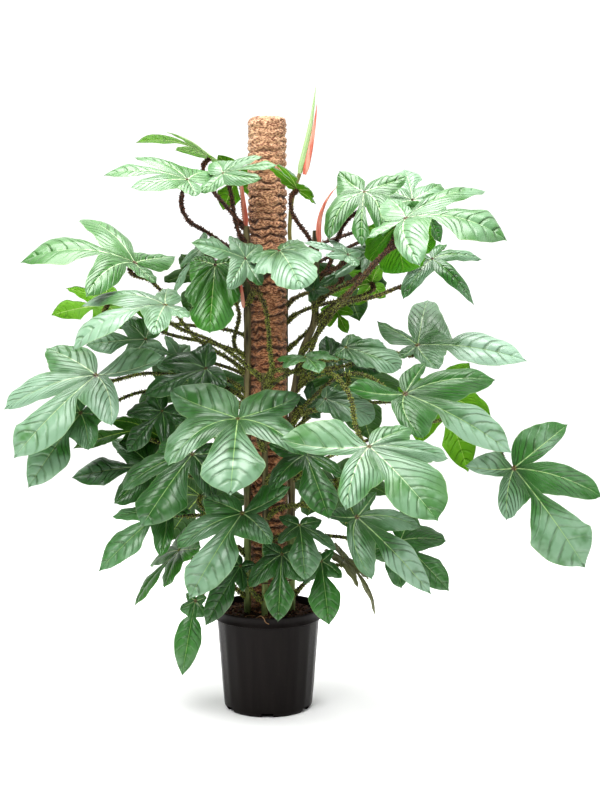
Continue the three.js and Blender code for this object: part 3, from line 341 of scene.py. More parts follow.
def leaf_finish(name, tones, side):
    deep, light, vein = tones
    finish = Finish(name, side["roughness"], coat=side["coat"])
    finish.shader.inputs["Specular IOR Level"].default_value = side["specular"]
    coordinates = finish.node("ShaderNodeSeparateXYZ", {0: finish.node("ShaderNodeUVMap").outputs[0]})
    across, phase = coordinates.outputs[0], coordinates.outputs[1]
    blade = finish.node("ShaderNodeSeparateXYZ", {0: finish.attribute("blade", "Vector")})
    from_rib, from_joint, tone = blade.outputs[0], blade.outputs[1], blade.outputs[2]
    blotch = finish.noise(26)
    fine = finish.noise(240, detail=6)

    wobble = finish.math("MULTIPLY_ADD", blotch, 0.5, phase)
    to_vein = finish.math("ABSOLUTE", finish.math("SUBTRACT", finish.math("FRACT", wobble), 0.5))
    patchy = finish.math("MULTIPLY_ADD", finish.smooth(finish.noise(12), 0.36, 0.62), 0.75, 0.25)
    crease = finish.math("MULTIPLY", finish.smooth(to_vein, CREASE_FROM, CREASE_FULL), patchy)
    crease = finish.math("MULTIPLY", crease, finish.smooth(across, 1.0, 0.55, 0.35, 1.0))
    cushion = finish.math("SUBTRACT", 1.0, crease)

    # Painted highlight on the cushions; the creases between them read as painted shade.
    body = finish.math("MULTIPLY_ADD", blotch, 0.8, finish.math("MULTIPLY", cushion, side["cushion_painted_highlight"]))
    body = finish.math("ADD", body, finish.math("MULTIPLY_ADD", fine, 0.1, -0.35))
    body = finish.math("ADD", body, finish.math("MULTIPLY_ADD", tone, 0.5, -0.25), clamp=True)
    colour = finish.mix(body, deep, light)
    if side is UPPER_SIDE:
        # Painted sheen: pale grey-green over the upper side, in patches, fading in the creases.
        painted_sheen = finish.attribute("painted_sheen")
        spread = finish.math("MULTIPLY_ADD", painted_sheen, 0.3, finish.noise(16, detail=3))
        painted_sheen_mask = finish.math("MULTIPLY_ADD", crease, -CREASE_SHEEN_LOSS, 1.0)
        painted_sheen_mask = finish.math("MULTIPLY", painted_sheen_mask, finish.smooth(spread, 0.5, 0.72, 0.1, 0.85))
        colour = finish.mix(finish.math("MULTIPLY", painted_sheen, painted_sheen_mask, clamp=True), colour, PAINTED_SHEEN_TONE)
    side_vein = finish.smooth(across, 0.9, 0.1, 0.0, SIDE_VEIN_SHARE)
    side_vein = finish.math("MULTIPLY", finish.smooth(to_vein, 0.46, 0.492), side_vein)
    colour = finish.mix(side_vein, colour, vein)
    colour = finish.mix(finish.smooth(from_rib, 1.15, 0.7), colour, vein)
    colour = finish.mix(finish.smooth(across, 0.96, 0.985, 0.0, 0.4), colour, MARGIN)
    colour = finish.mix(finish.smooth(from_joint, 0.035, 0.012, 0.0, 0.8), colour, JOINT_SPOT)
    finish.colour(colour)

    rough = finish.math("MULTIPLY_ADD", fine, 0.05, side["roughness"])
    finish.join(rough, finish.shader.inputs["Roughness"])
    height = finish.math("MULTIPLY", cushion, side["relief"])
    finish.bump(finish.math("MULTIPLY_ADD", side_vein, -SIDE_VEIN_DIP, height), BUMP_DEPTH)
    return finish.material


UPPER = {look: leaf_finish(f"leaf_upper_{look}", tones, UPPER_SIDE) for look, tones in UPPER_TONES.items()}
UNDER = {look: leaf_finish(f"leaf_under_{look}", tones, UNDER_SIDE) for look, tones in UNDER_TONES.items()}
print("leaf finishes:", len(UPPER) + len(UNDER))

# %% [markdown]
# ## The net of a blade
# A blade has five lobes: the tip, two side lobes and two lobes at its foot. Each half of a lobe is one
# strip between the lobe's main vein and its edge. The strips of all blades are laid out once, as flat grids,
# and joined in one net that remembers for every point its strip, how far it lies along the vein and how far
# across. Every leaf takes a copy of the net and moves its points to its own shape, so that leaves of any
# outline share one tidy mesh, and pleats can be raised along the veins.

# %% Lay out the net
STRIPS = (("tip", 30), ("lateral_upper", 22), ("lateral_lower", 22), ("basal_upper", 18), ("basal_lower", 18))
WEB_ROWS = 7
ACROSS = 7


def lay_net(name, detail):
    """Ten grids, one for each strip of both halves, joined in one object."""
    columns = round(ACROSS * detail)
    web = round(WEB_ROWS * detail)
    grids = []
    deselect_all()
    for half in (1, -1):
        for number, (_, rows) in enumerate(STRIPS):
            lobe = round(rows * detail)
            bpy.ops.mesh.primitive_grid_add(x_subdivisions=columns, y_subdivisions=web + lobe, size=2)
            grid = bpy.context.object
            spots = np.empty(len(grid.data.vertices) * 3)
            grid.data.vertices.foreach_get("co", spots)
            spots = (spots.reshape(-1, 3) + 1) / 2
            row = np.round(spots[:, 1] * (web + lobe))
            along = np.where(row <= web, row / web - 1, (row - web) / lobe)
            for key, values in (("strip", np.full(len(row), half * (number + 1.0))), ("along", along),
                                ("across", spots[:, 0])):
                grid.data.attributes.new(key, "FLOAT", "POINT").data.foreach_set("value", values)
            grids.append(grid)
    for grid in grids:
        grid.select_set(True)
    bpy.ops.object.join()
    net = bpy.context.object
    net.name = name
    scene.collection.objects.unlink(net)
    return net


def stored(mesh, key):
    """The values of one attribute of a mesh, point by point."""
    values = np.empty(len(mesh.vertices))
    mesh.attributes[key].data.foreach_get("value", values)
    return values


FINE_NET = lay_net("fine_net", 1.0)
REAR_NET = lay_net("rear_net", 0.6)
print("faces in a fine blade:", len(FINE_NET.data.polygons), "and a rear one:", len(REAR_NET.data.polygons))

# %% [markdown]
# ## The outline of a blade
# In its own flat frame a blade is one unit long: y runs from the stalk's joint to the tip, x to the side.
# The edge of each strip is a Bezier curve from the notch between two lobes to the lobe's tip, and the
# tips of the side lobes are given for each leaf. Every point of a strip lies on a rung between the vein
# and that edge.

# %% Outline in the flat
EDGES = {
    "tip": ((0.15, 0.44), (0.75, 0.28)),
    "lateral_upper": ((0.35, 0.02), (0.8, 0.12)),
    "lateral_lower": ((0.25, 0.2), (0.8, 0.26)),
    "basal_upper": ((0.3, 0.1), (0.75, 0.14)),
    "basal_lower": ((0.2, 0.56), (0.75, 0.28)),
}
NOTCH = dict(upper=0.3, lower=0.4, share=0.9, lean=0.35)
LATERAL_BOW = dict(reach=0.44, lean=0.54)
BASAL_BOW = (0.5, 0.3)
WEB_SHARE = 0.3
SINUS_SLOPE = 0.03


def unit(vector):
    return vector / np.linalg.norm(vector)


def bezier(points, share):
    """A Bezier curve of any order, at many shares of its way at once."""
    layers = [np.asarray(point, float)[None, :] for point in points]
    share = share[:, None]
    while len(layers) > 1:
        layers = [first * (1 - share) + second * share for first, second in zip(layers, layers[1:])]
    return np.broadcast_to(layers[0], (len(share), 2))


def notch_point(depth, first, second, weight):
    """A notch at this depth, between the ways of two lobes."""
    return unit(unit(first) + weight * unit(second)) * depth


def sinus_line(notch, first, second):
    """The line that leaves a notch midway between the two lobes beside it."""
    line = unit(first - notch) + unit(second - notch)
    return unit(line * (np.sign(line.dot(notch)) or 1))


def keep_apart(points, notch, line, outward):
    """Keeps edge points on their own lobe's side of that line, so that two lobes never cover each other."""
    normal = np.array((line[1], -line[0]))
    away = points - notch
    excess = away.dot(normal) * outward + SINUS_SLOPE * np.maximum(away.dot(line), 0)
    return points - outward * np.maximum(excess, 0)[:, None] * normal


def edge_controls(notch, tip, bulges, outward, slim):
    """The four points of an edge's curve, from the notch to the lobe's tip."""
    way = tip - notch
    normal = np.array((way[1], -way[0])) * outward
    return [notch, *[notch + way * share + normal * bulge * slim for share, bulge in bulges], tip]


def outline(leaf, strip, along, across):
    """Flat places of one half's points, for x to the right."""
    name = STRIPS[strip - 1][0]
    joint, tip = np.zeros(2), np.array((0.0, 1.0))
    lateral, basal = (np.array(spot, float) for spot in leaf["lobes"][:2])
    reach = [np.linalg.norm(lateral), np.linalg.norm(basal)]
    lower_depth = min(NOTCH["lower"] * min(1, sum(reach)), NOTCH["share"] * min(reach))
    notches = [np.array(spot, float) for spot in leaf["lobes"][2:]]
    if not notches:
        notches = [notch_point(NOTCH["upper"], tip, lateral, NOTCH["lean"]),
                   notch_point(lower_depth, lateral, basal, 1)]
    if name == "basal_lower":
        notch, line = joint, np.array((0.0, -1.0))
    elif strip <= 2:
        notch, line = notches[0], sinus_line(notches[0], tip, lateral)
    else:
        notch, line = notches[1], sinus_line(notches[1], lateral, basal)
    kind = name.split("_")[0]
    end = {"tip": tip, "lateral": lateral, "basal": basal}[kind]
    bowed = notch_point(LATERAL_BOW["reach"] * reach[0], notches[1], notches[0], LATERAL_BOW["lean"])
    middle = {"tip": tip / 2, "lateral": bowed, "basal": basal * BASAL_BOW}
    on_vein = np.where(along < 0, WEB_SHARE * (1 + along), WEB_SHARE + (1 - WEB_SHARE) * along)
    vein = bezier([joint, middle[kind], end], on_vein)
    outward = 1 if strip in (1, 3, 5) else -1
    full = leaf["slim"] * (leaf["crown"] if strip == 1 else 1)
    share = on_vein if name == "basal_lower" else np.maximum(along, 0)
    curve = bezier(edge_controls(notch, end, EDGES[name], outward, full), share)
    edge = keep_apart(curve, notch, line, outward)
    if name != "basal_lower":
        edge = np.where((along < 0)[:, None], notch * (1 + along[:, None]), edge)
    return vein + (edge - vein) * across[:, None], on_vein, np.linalg.norm(edge - vein, axis=1)


plain_notch = notch_point(NOTCH["upper"], np.array((0, 1.0)), np.array((0.5, 0.48)), NOTCH["lean"])
print("notch of a plain leaf:", plain_notch)

# %% [markdown]
# ## Bending a blade into place
# The flat blade is bent along its midrib, arched or folded across it, and turned so that its upper side
# looks the right way. Each half of a lobe is vaulted a little, and low pleats run over it from side vein to
# side vein. The edge waves slightly, and each lobe ends in a tapered drip tip. Every leaf also has its share
# of painted sheen, pale colour that stands in for the reflection of the lights, one value for the tip and one
# for each side lobe and foot lobe, since the lobes face the lights differently.

# %% Blade into place
PLEATS = dict(tip=8, lateral=7, basal=5)
PLEAT_SLANT = dict(tip=(0.12, 0.5), lateral=(0.5, 0.6), basal=(0.3, 0.6))
PLEAT_HEIGHT = 1.6
ROOF_HEIGHT = 7.0
ROOF_WIDTH = 0.25
WAVE_HEIGHT = 2.4
WAVES = 2.3
RIB_WIDTH = 1.9
FULL_LENGTH = 0.2
EDGE_WAVE = 0.07
EDGE_WAVES = (1.7, 4.1)
TIP_TAPER = 0.6
TIP_FROM = 0.8
# Default shares of painted sheen for each look: tip, side lobes, foot lobes.
PAINTED_SHEEN = dict(pale=(0.65, 0.55, 0.4), mid=(0.3, 0.2, 0.1), dark=(0.1, 0.06, 0.05), fresh=(0.1, 0.1, 0.1),
             lime=(0, 0, 0), dry=(0, 0, 0))
PAINTED_SHEEN_FROM, PAINTED_SHEEN_RISE = 0.25, 0.3


def rising(value):
    """The value, kept between 0 and 1."""
    return np.clip(value, 0, 1)


def blade_frame(leaf):
    """Where a blade starts, its ways forward, up and to the side, its bend, and its length when flat."""
    base, tip = place(leaf["base"]), place(leaf["tip"])
    forward = unit(tip - base)
    up = np.array(leaf["faces"], float)
    up = unit(up - forward * up.dot(forward))
    bend = math.radians(leaf["bend"])
    length = np.linalg.norm(tip - base) * bend / 2 / math.sin(bend / 2)
    return base, forward, up, np.cross(forward, up), bend, length


def bend_blade(leaf, flat):
    """Moves flat places to where they lie on the bent and arched blade."""
    base, forward, up, side, bend, length = blade_frame(leaf)
    curl = np.where(flat[:, 1] > 0, bend, -math.radians(leaf["rise"]))
    turn = bend / 2 - curl * flat[:, 1]
    reach = np.abs(flat[:, 0])
    lean = math.radians(leaf["arch"]) * reach * 0.5 - math.radians(leaf["fold"])
    normal = np.cos(turn)[:, None] * up - np.sin(turn)[:, None] * forward
    points = base + (length / curl * (math.sin(bend / 2) - np.sin(turn)))[:, None] * forward
    points = points + (length / curl * (np.cos(turn) - math.cos(bend / 2)))[:, None] * up
    points = points + (length * flat[:, 0] * np.cos(lean))[:, None] * side
    return points - (length * reach * np.sin(lean))[:, None] * normal


def edge_wear(leaf, along, across):
    """Draws the edge in a little, in uneven waves, and toward the tip so that it ends in a drip tip."""
    long_wave, short_wave = (math.tau * number * along for number in EDGE_WAVES)
    waves = 0.5 + 0.3 * np.sin(long_wave + math.tau * leaf["tone"]) + 0.2 * np.sin(short_wave)
    taper = rising((along - TIP_FROM) / (1 - TIP_FROM)) ** 1.5
    return across * (1 - EDGE_WAVE * waves * rising(along * 4)) * (1 - TIP_TAPER * taper)


def painted_sheen_share(leaf, half, kind, on_vein):
    """How much painted sheen a lobe gets, for the tip, the side lobes and the foot lobes of each half."""
    tip, *sides = leaf.get("painted_sheen", PAINTED_SHEEN[leaf["look"]])
    lateral, basal = sides[-2:] if half < 0 else sides[:2]
    least = min(tip, *sides)
    own = dict(tip=tip, lateral=lateral, basal=basal)[kind]
    return least + (own - least) * rising((on_vein - PAINTED_SHEEN_FROM) / PAINTED_SHEEN_RISE)


def shape_blade(name, leaf, net):
    """A copy of the net, moved to the shape of one leaf, pleated, and thickened."""
    mesh = net.data.copy()
    strips, along, across = stored(mesh, "strip"), stored(mesh, "along"), stored(mesh, "across")
    flat, blade = np.zeros((len(strips), 2)), np.zeros((len(strips), 3))
    phase, lift, painted_sheen = (np.zeros(len(strips)) for _ in range(3))
    length = blade_frame(leaf)[5]
    grown = min(1.0, length / FULL_LENGTH)
    for half, side in ((1, "right"), (-1, "left")):
        own = {**leaf, "lobes": leaf[side]}
        for number, (strip, _) in enumerate(STRIPS, 1):
            kind = strip.split("_")[0]
            chosen = strips == half * number
            u, v = across[chosen], along[chosen]
            spots, on_vein, width = outline(own, number, v, edge_wear(leaf, v, u))
            flat[chosen] = spots * (half * leaf["wide"], 1)
            slant = PLEAT_SLANT[kind][0] * u + PLEAT_SLANT[kind][1] * u ** 2
            phase[chosen] = PLEATS[kind] * (on_vein - slant * (1 - on_vein))
            pleat = np.abs(np.sin(math.pi * phase[chosen])) ** 0.7 - 0.5
            pleat *= np.sin(math.pi * rising(u * 0.92)) ** 0.6 * rising(4 * (1 - on_vein))
            wave = np.sin(math.tau * (WAVES * np.maximum(v, 0) + leaf["tone"])) * u ** 3
            wave *= rising(v * 3) * rising(5 * (1 - v))
            vault = np.sin(math.pi * u ** 0.8) - 0.5 * u ** 2
            vault *= rising(2.5 * on_vein) * rising(width / ROOF_WIDTH)
            rise = PLEAT_HEIGHT * pleat + WAVE_HEIGHT * wave + ROOF_HEIGHT * vault
            lift[chosen] = rise * MM * grown * leaf["relief"]
            # Painted sheen for each lobe, rising from the joint toward the lobe's own value.
            painted_sheen[chosen] = painted_sheen_share(leaf, half, kind, on_vein)
            blade[chosen, 0] = u * width * length / (RIB_WIDTH * MM * grown * (1.15 - on_vein))
    blade[:, 1] = np.linalg.norm(flat, axis=1)
    blade[:, 2] = leaf["tone"]
    mesh.vertices.foreach_set("co", bend_blade(leaf, flat).ravel())
    corners = np.empty(len(mesh.loops), int)
    mesh.loops.foreach_get("vertex_index", corners)
    uvs = np.stack((across, phase), axis=1)[corners]
    mesh.uv_layers[0].data.foreach_set("uv", uvs.ravel())
    mesh.attributes.new("blade", "FLOAT_VECTOR", "POINT").data.foreach_set("vector", blade.ravel())
    for key, values in (("painted_sheen", painted_sheen), ("lift", lift)):
        mesh.attributes.new(key, "FLOAT", "POINT").data.foreach_set("value", values)
    made = bpy.data.objects.new(name, mesh)
    scene.collection.objects.link(made)
    finish_blade(made, leaf)
    return made


def finish_blade(made, leaf):
    """Merges the strips, turns the upper side out, raises the pleats and gives the blade its thickness."""
    activate(made)
    merge_and_turn(BLADE_MERGE)
    mesh = made.data
    up = np.array(leaf["faces"], float)
    normals = np.empty(len(mesh.vertices) * 3)
    mesh.vertex_normals.foreach_get("vector", normals)
    if normals.reshape(-1, 3).mean(axis=0).dot(up) < 0:
        mesh.flip_normals()
        mesh.vertex_normals.foreach_get("vector", normals)
    places = np.empty(len(mesh.vertices) * 3)
    mesh.vertices.foreach_get("co", places)
    places = places + normals * np.repeat(stored(mesh, "lift"), 3)
    mesh.vertices.foreach_set("co", places)
    for key in ("strip", "along", "across", "lift"):
        mesh.attributes.remove(mesh.attributes[key])
    mesh.materials.append(UPPER[leaf["look"]])
    mesh.materials.append(UNDER[leaf["under"]])
    solid = made.modifiers.new("thickness", "SOLIDIFY")
    solid.thickness = BLADE_THICKNESS * MM
    solid.offset = 0
    solid.material_offset = 1
    bpy.ops.object.modifier_apply(modifier=solid.name)
    bpy.ops.object.shade_smooth_by_angle(angle=math.radians(60))


print("pleats of a tip lobe:", PLEATS["tip"])

# %% [markdown]
# ## The leaves
# Every leaf is described as it shows in the photograph: where its joint and its tip are, which way its
# upper side faces, how it is bent, and where its side lobes end: in `right` and `left`, or in `both` where
# the two sides are alike. A stalk is given by the stem it grows from, the height where it leaves that stem,
# and places that it passes on its way to the joint. What a leaf doesn't say comes from SHAPE.

# %% Leaf shapes
SHAPE = dict(right=((0.5, 0.48), (0.5, -0.26)), left=((0.5, 0.48), (0.5, -0.26)), faces=(0, -0.8, 0.6),
             wide=1, slim=1, crown=1, bend=20, arch=45, fold=8, rise=60, look="mid", under="olive",
             relief=1)
# A leaf's own painted sheen lists its tip, side lobes and foot lobes, with two more values where the left
# side differs.
LEAVES = {
    "leaf_top_left_1": dict(base=(-142, 1382, -50), tip=(-325, 1420, -90), faces=(0, 0.2, 0.97), bend=55,
        look="lime", under="lime", relief=0.3, right=((0.4, 0.6), (0.25, -0.15)),
        left=((0.4, 0.5), (0.3, -0.2)), stalk=("left", 1205)),
    "leaf_top_left_2": dict(base=(-198, 1330, 140), tip=(-405, 1340, 165), faces=(0, -0.45, 0.9), bend=40,
        look="pale", relief=0.5, painted_sheen=(0.25, 0.3, 0.3), right=((0.44, 0.64), (0.5, -0.3)),
        left=((0.46, 0.68), (0.4, -0.1)), stalk=("left", 1120, (-135, 1190, -45), (-208, 1250, 80))),
    "leaf_top_left_3": dict(base=(-110, 1345, 112), tip=(25, 1365, 150), faces=(0.1, -0.6, 0.8), look="pale",
        painted_sheen=(0.25, 0.3, 0.3), right=((0.4, 0.8), (0.5, -0.3)), left=((0.3, 0.68), (0.6, -0.3)),
        stalk=("left", 1170)),
    "leaf_top_right_1": dict(base=(75, 1305, 115), tip=(30, 1365, 230), faces=(0, -0.7, 0.7), under="lime",
        both=((0.5, 0.48), (0.4, -0.15)), stalk=("right", 1150)),
    "leaf_top_right_2": dict(base=(240, 1300, 25), tip=(235, 1165, 120), faces=(-0.2, -0.8, 0.6), bend=45,
        slim=0.8, look="pale", painted_sheen=(0.15, 0.25, 0.2), right=((0.48, 0.86), (0.4, -0.5)),
        left=((0.3, 0.88), (0.6, -0.34)), stalk=("right", 1080, (190, 1220, 60))),
    "leaf_top_right_3": dict(base=(343, 1235, 215), tip=(595, 1180, 262), faces=(0.2, -0.6, 0.75), bend=60,
        crown=1.4, look="pale", painted_sheen=(0.35, 0.45, 0.4),
        right=((0.71, 0.3), (0.3, -0.3), (0.06, 0.27), (0.1, -0.06)),
        left=((0.72, 0.66), (0.45, -0.3), (0.06, 0.3), (0.11, 0.04)),
        stalk=("right", 900, (180, 1020, 110), (270, 1130, 140))),
    "leaf_top_right_4": dict(base=(320, 1215, 70), tip=(340, 1100, 62), faces=(0, 0.9, 0.2), bend=40,
        wide=1.6, look="dark", under="deep", both=((0.42, 0.62), (0.4, -0.1), (0.3, 0.74), (0.44, 0.3)),
        stalk=("right", 980, (250, 1100, 66))),
    "leaf_top_right_5": dict(base=(410, 1135, 20), tip=(515, 1020, 60), faces=(0.1, -0.75, 0.65), bend=45,
        crown=0.25, painted_sheen=(0.4, 0.6, 0.4), right=((0.85, 0.22), (0.5, -0.3), (0.16, 0.2), (0.32, -0.08)),
        left=((0.69, 0.47), (0.42, -0.08), (0.11, 0.18), (0.2, -0.02)),
        stalk=("right", 870, (160, 1005, 90), (290, 1050, 70))),
    "leaf_upper_1": dict(base=(30, 1155, 140), tip=(85, 1058, 260), faces=(0, -0.75, 0.65), bend=40,
        look="pale", painted_sheen=(0.8, 0.7, 0.6), right=((0.5, 0.44), (0.48, 0.02), (0.3, 0.56), (0.4, 0.2)),
        left=((0.5, 0.48), (0.36, -0.22), (0.32, 0.6), (0.4, 0.12)), stalk=("left", 1020, (-20, 1080, 100))),
    "leaf_upper_2": dict(base=(200, 1145, 95), tip=(90, 1175, 95), faces=(0, -0.5, 0.85), wide=0.7,
        look="pale", painted_sheen=(0.9, 0.9, 0.6), stalk=("right", 1070)),
    "leaf_upper_3": dict(base=(115, 1060, 70), tip=(170, 1095, 62), faces=(0, -0.9, 0.3), wide=0.8,
        look="dark", stalk=("right", 1000)),
    "leaf_upper_4": dict(base=(260, 1150, -58), tip=(155, 1085, -15), faces=(0, -0.7, 0.7), wide=0.7,
        look="pale", stalk=("right", 1020, (210, 1080, -10))),
    "leaf_upper_5": dict(base=(-55, 1135, 150), tip=(-190, 1175, 185), faces=(0, -0.7, 0.7), look="pale",
        painted_sheen=(0.5, 0.6, 0.5), right=((0.4, 0.34), (0.5, -0.3)), left=((0.76, 0.26), (0.5, -0.34)),
        stalk=("front", 820, (5, 913, 80), (-6, 1014, 100), (-31, 1066, 125))),
    "leaf_upper_6": dict(base=(-130, 1120, 95), tip=(-145, 950, 185), faces=(0, -0.9, 0.4), wide=1.15,
        look="fresh", right=((0.28, 0.56), (0.26, -0.1), (0.2, 0.66), (0.25, 0.3)),
        left=((0.3, 0.5), (0.26, -0.1), (0.22, 0.64), (0.24, 0.3)), stalk=("left", 890, (-72, 1005, 40))),
    "leaf_upper_7": dict(base=(-165, 1160, 28), tip=(-235, 1040, 34), faces=(-0.8, -0.4, 0.5), wide=0.8,
        look="pale", stalk=("left", 1050)),
    "leaf_left_1": dict(base=(-430, 845, 74), tip=(-640, 635, 130), faces=(-0.05, -0.85, 0.5), bend=30,
        crown=0.95, look="pale", painted_sheen=(0.8, 0.9, 0.6),
        right=((0.37, 0.76), (0.53, 0.12), (0.1, 0.36), (0.31, 0.25)),
        left=((0.45, 0.23), (0.34, -0.52), (0.05, 0.26), (0.09, -0.06)),
        stalk=("left", 780, (-290, 850, 25))),
    "leaf_left_2": dict(base=(-470, 750, 20), tip=(-605, 560, 70), faces=(-0.1, -0.9, 0.3), wide=1.1,
        crown=0.9, painted_sheen=(0.7, 0.5, 0.3), both=((0.3, 0.3), (0.2, -0.15)),
        stalk=("left", 720, (-300, 805, -40))),
    "leaf_left_4": dict(base=(-330, 1125, -10), tip=(-615, 1125, 10), faces=(0, -0.5, 0.86), bend=60,
        crown=1.1, look="pale", painted_sheen=(0.15, 0.2, 0.2),
        right=((0.78, 0.54), (0.31, -0.36), (0.06, 0.3), (0.15, 0.02)),
        left=((0.64, 0.38), (0.22, -0.2), (0.06, 0.32), (0.12, 0.08)),
        stalk=("left", 850, (-180, 940, 15), (-290, 1080, -25))),
    "leaf_left_5": dict(base=(-255, 1020, 165), tip=(-490, 905, 215), faces=(-0.3, -0.5, 0.8), bend=60,
        look="pale", painted_sheen=(0.8, 0.7, 0.6), right=((0.6, 0.7), (0.4, -0.16), (0.07, 0.34), (0.2, 0.04)),
        left=((0.51, 0.28), (0.3, -0.14), (0.05, 0.26), (0.24, 0.02)),
        stalk=("front", 835, (-120, 920, 110))),
    "leaf_left_6": dict(base=(-225, 890, 8), tip=(-315, 920, 28), look="pale", stalk=("left", 800)),
    "leaf_left_7": dict(base=(-155, 862, 66), tip=(-310, 795, 76), look="dark",
        right=((0.36, 0.6), (0.4, -0.2)), left=((0.5, 0.48), (0.4, -0.2)), stalk=("left", 760)),
    "leaf_middle_1": dict(base=(-75, 735, 205), tip=(-95, 540, 375), bend=35, crown=1.5,
        painted_sheen=(0.6, 0.4, 0.3), right=((0.64, 0.66), (0.76, -0.48), (0.19, 0.31), (0.52, -0.04)),
        left=((0.72, 0.44), (0.62, -0.45), (0.09, 0.25), (0.44, -0.1)),
        stalk=("front", 660, (-50, 750, 150))),
    "leaf_middle_2": dict(base=(255, 665, 325), tip=(430, 475, 420), bend=30, look="pale",
        painted_sheen=(0.55, 0.7, 0.5), right=((0.61, 0.37), (0.62, -0.6), (0.14, 0.38), (0.17, -0.03)),
        left=((0.5, 0.59), (0.45, 0.1), (0.3, 0.5), (0.34, 0.2)),
        stalk=("front", 805, (91, 863, 130), (150, 855, 180), (205, 795, 230), (222, 715, 262))),
    "leaf_middle_3": dict(base=(100, 760, 0), tip=(110, 830, -10), faces=(0, -0.95, 0.2), look="dark",
        stalk=("right", 700)),
    "leaf_middle_4": dict(base=(145, 785, 135), tip=(270, 735, 155), look="pale",
        both=((0.34, 0.45), (0.28, -0.08), (0.26, 0.62), (0.26, 0.2)), stalk=("right", 720)),
    "leaf_right_1": dict(base=(95, 890, 150), tip=(130, 850, 270), faces=(0, -0.5, 0.85),
        stalk=("front", 835)),
    "leaf_right_2": dict(base=(195, 915, 60), tip=(335, 862, 100), faces=(0, -0.7, 0.7), look="pale",
        right=((0.3, 0.45), (0.24, -0.08), (0.22, 0.62), (0.22, 0.2)),
        left=((0.34, 0.5), (0.3, -0.05), (0.26, 0.64), (0.28, 0.2)), stalk=("right", 850)),
    "leaf_right_3": dict(base=(155, 890, -35), tip=(285, 850, 0), faces=(0, -0.7, 0.7), look="dark",
        stalk=("right", 800)),
    "leaf_right_4": dict(base=(345, 798, 175), tip=(615, 648, 210), bend=35, crown=0.7,
        painted_sheen=(0.95, 0.15, 0.1), right=((0.32, 0.31), (0.2, -0.45), (0.05, 0.32), (0.12, -0.07)),
        left=((0.51, 0.6), (0.36, 0.02), (0.12, 0.4), (0.14, 0.04)), stalk=("right", 740, (220, 850, 110))),
    "leaf_right_5": dict(base=(375, 920, 25), tip=(650, 880, 65), faces=(0, -0.65, 0.76), bend=32, slim=0.9,
        crown=0.95, painted_sheen=(1.2, 0.35, 0.3), right=((0.32, 0.24), (0.2, -0.16), (0.07, 0.28), (0.12, -0.02)),
        left=((0.8, -0.04), (0.26, -0.42), (0.08, 0.31), (0.1, -0.06)),
        stalk=("right", 820, (200, 870, 20), (310, 900, 0))),
    "leaf_far_right": dict(base=(620, 610, 40), tip=(805, 355, 60), faces=(0.1, -0.9, 0.45), wide=1.1,
        crown=1.25, painted_sheen=(0.65, 0.7, 0.8, 0.15, 0.5),
        right=((0.3, 0.29), (0.3, -0.26), (0.04, 0.27), (0.11, 0)),
        left=((0.44, 0.64), (0.6, -0.01), (0.05, 0.3), (0.14, 0.06)),
        stalk=("right", 580, (350, 710, 40), (545, 722, 22))),
    "leaf_low_1": dict(base=(95, 645, 150), tip=(155, 480, 240), faces=(0, -0.85, 0.5),
        painted_sheen=(0.12, 0.1, 0.1), right=((0.62, 0.35), (0.43, -0.32), (0.1, 0.22), (0.3, -0.05)),
        left=((0.36, 0.52), (0.42, 0), (0.12, 0.26), (0.22, 0.12)), stalk=("front", 580)),
    "leaf_low_2": dict(base=(80, 465, 130), tip=(95, 320, 190), bend=40,
        right=((0.4, 0.32), (0.34, -0.2), (0.07, 0.22), (0.2, 0.03)),
        left=((0.57, 0.53), (0.39, -0.06), (0.2, 0.28), (0.26, 0.12)), stalk=("front", 420)),
    "leaf_low_3": dict(base=(35, 390, 120), tip=(25, 215, 180), painted_sheen=(0.12, 0.1, 0.1),
        right=((0.45, 0.52), (0.28, -0.14), (0.09, 0.35), (0.26, 0.05)),
        left=((0.35, 0.4), (0.26, -0.14), (0.07, 0.35), (0.18, 0.08)), stalk=("front", 295)),
    "leaf_low_4": dict(base=(135, 372, 85), tip=(155, 207, 130), painted_sheen=(0.1, 0.1, 0.1),
        right=((0.32, 0.33), (0.2, -0.16), (0.14, 0.27), (0.14, 0.05)),
        left=((0.29, 0.3), (0.22, -0.16), (0.06, 0.26), (0.13, 0.02)), stalk=("right", 285)),
    "leaf_low_5": dict(base=(225, 485, 120), tip=(415, 285, 170), bend=30, crown=0.55,
        painted_sheen=(0.95, 0.6, 0.2), right=((0.34, 0.52), (0.2, -0.22), (0.06, 0.3), (0.1, -0.02)),
        left=((0.36, 0.48), (0.32, -0.05), (0.09, 0.29), (0.1, 0.02)), stalk=("front", 490, (90, 515, 90))),
    "leaf_low_left_1": dict(base=(-65, 495, 190), tip=(-200, 275, 250), bend=30, painted_sheen=(0.7, 0.4, 0.15),
        right=((0.37, 0.64), (0.42, 0.06), (0.1, 0.32), (0.3, 0.2)),
        left=((0.43, 0.12), (0.28, -0.48), (0.06, 0.24), (0.12, -0.07)), stalk=("front", 440)),
    "leaf_low_left_2": dict(base=(-190, 645, 95), tip=(-320, 460, 155), wide=1.2, painted_sheen=(0.3, 0.2, 0.1),
        right=((0.36, 0.78), (0.31, 0), (0.15, 0.4), (0.3, 0.22)),
        left=((0.43, 0.33), (0.26, -0.26), (0.08, 0.2), (0.14, -0.04)), stalk=("left", 580)),
    "leaf_low_left_3": dict(base=(-255, 510, 60), tip=(-430, 345, 110), faces=(0, -0.65, 0.75), crown=0.75,
        painted_sheen=(0.35, 0.2, 0.1), right=((0.37, 0.5), (0.29, 0), (0.07, 0.3), (0.19, 0.2)),
        left=((0.42, 0.42), (0.25, -0.14), (0.05, 0.27), (0.12, 0.02)), stalk=("left", 460)),
    "leaf_low_left_4": dict(base=(-225, 400, 20), tip=(-340, 255, 40), faces=(-0.8, -0.3, 0.5), look="fresh",
        under="lime", painted_sheen=(0, 0, 0), stalk=("left", 390)),
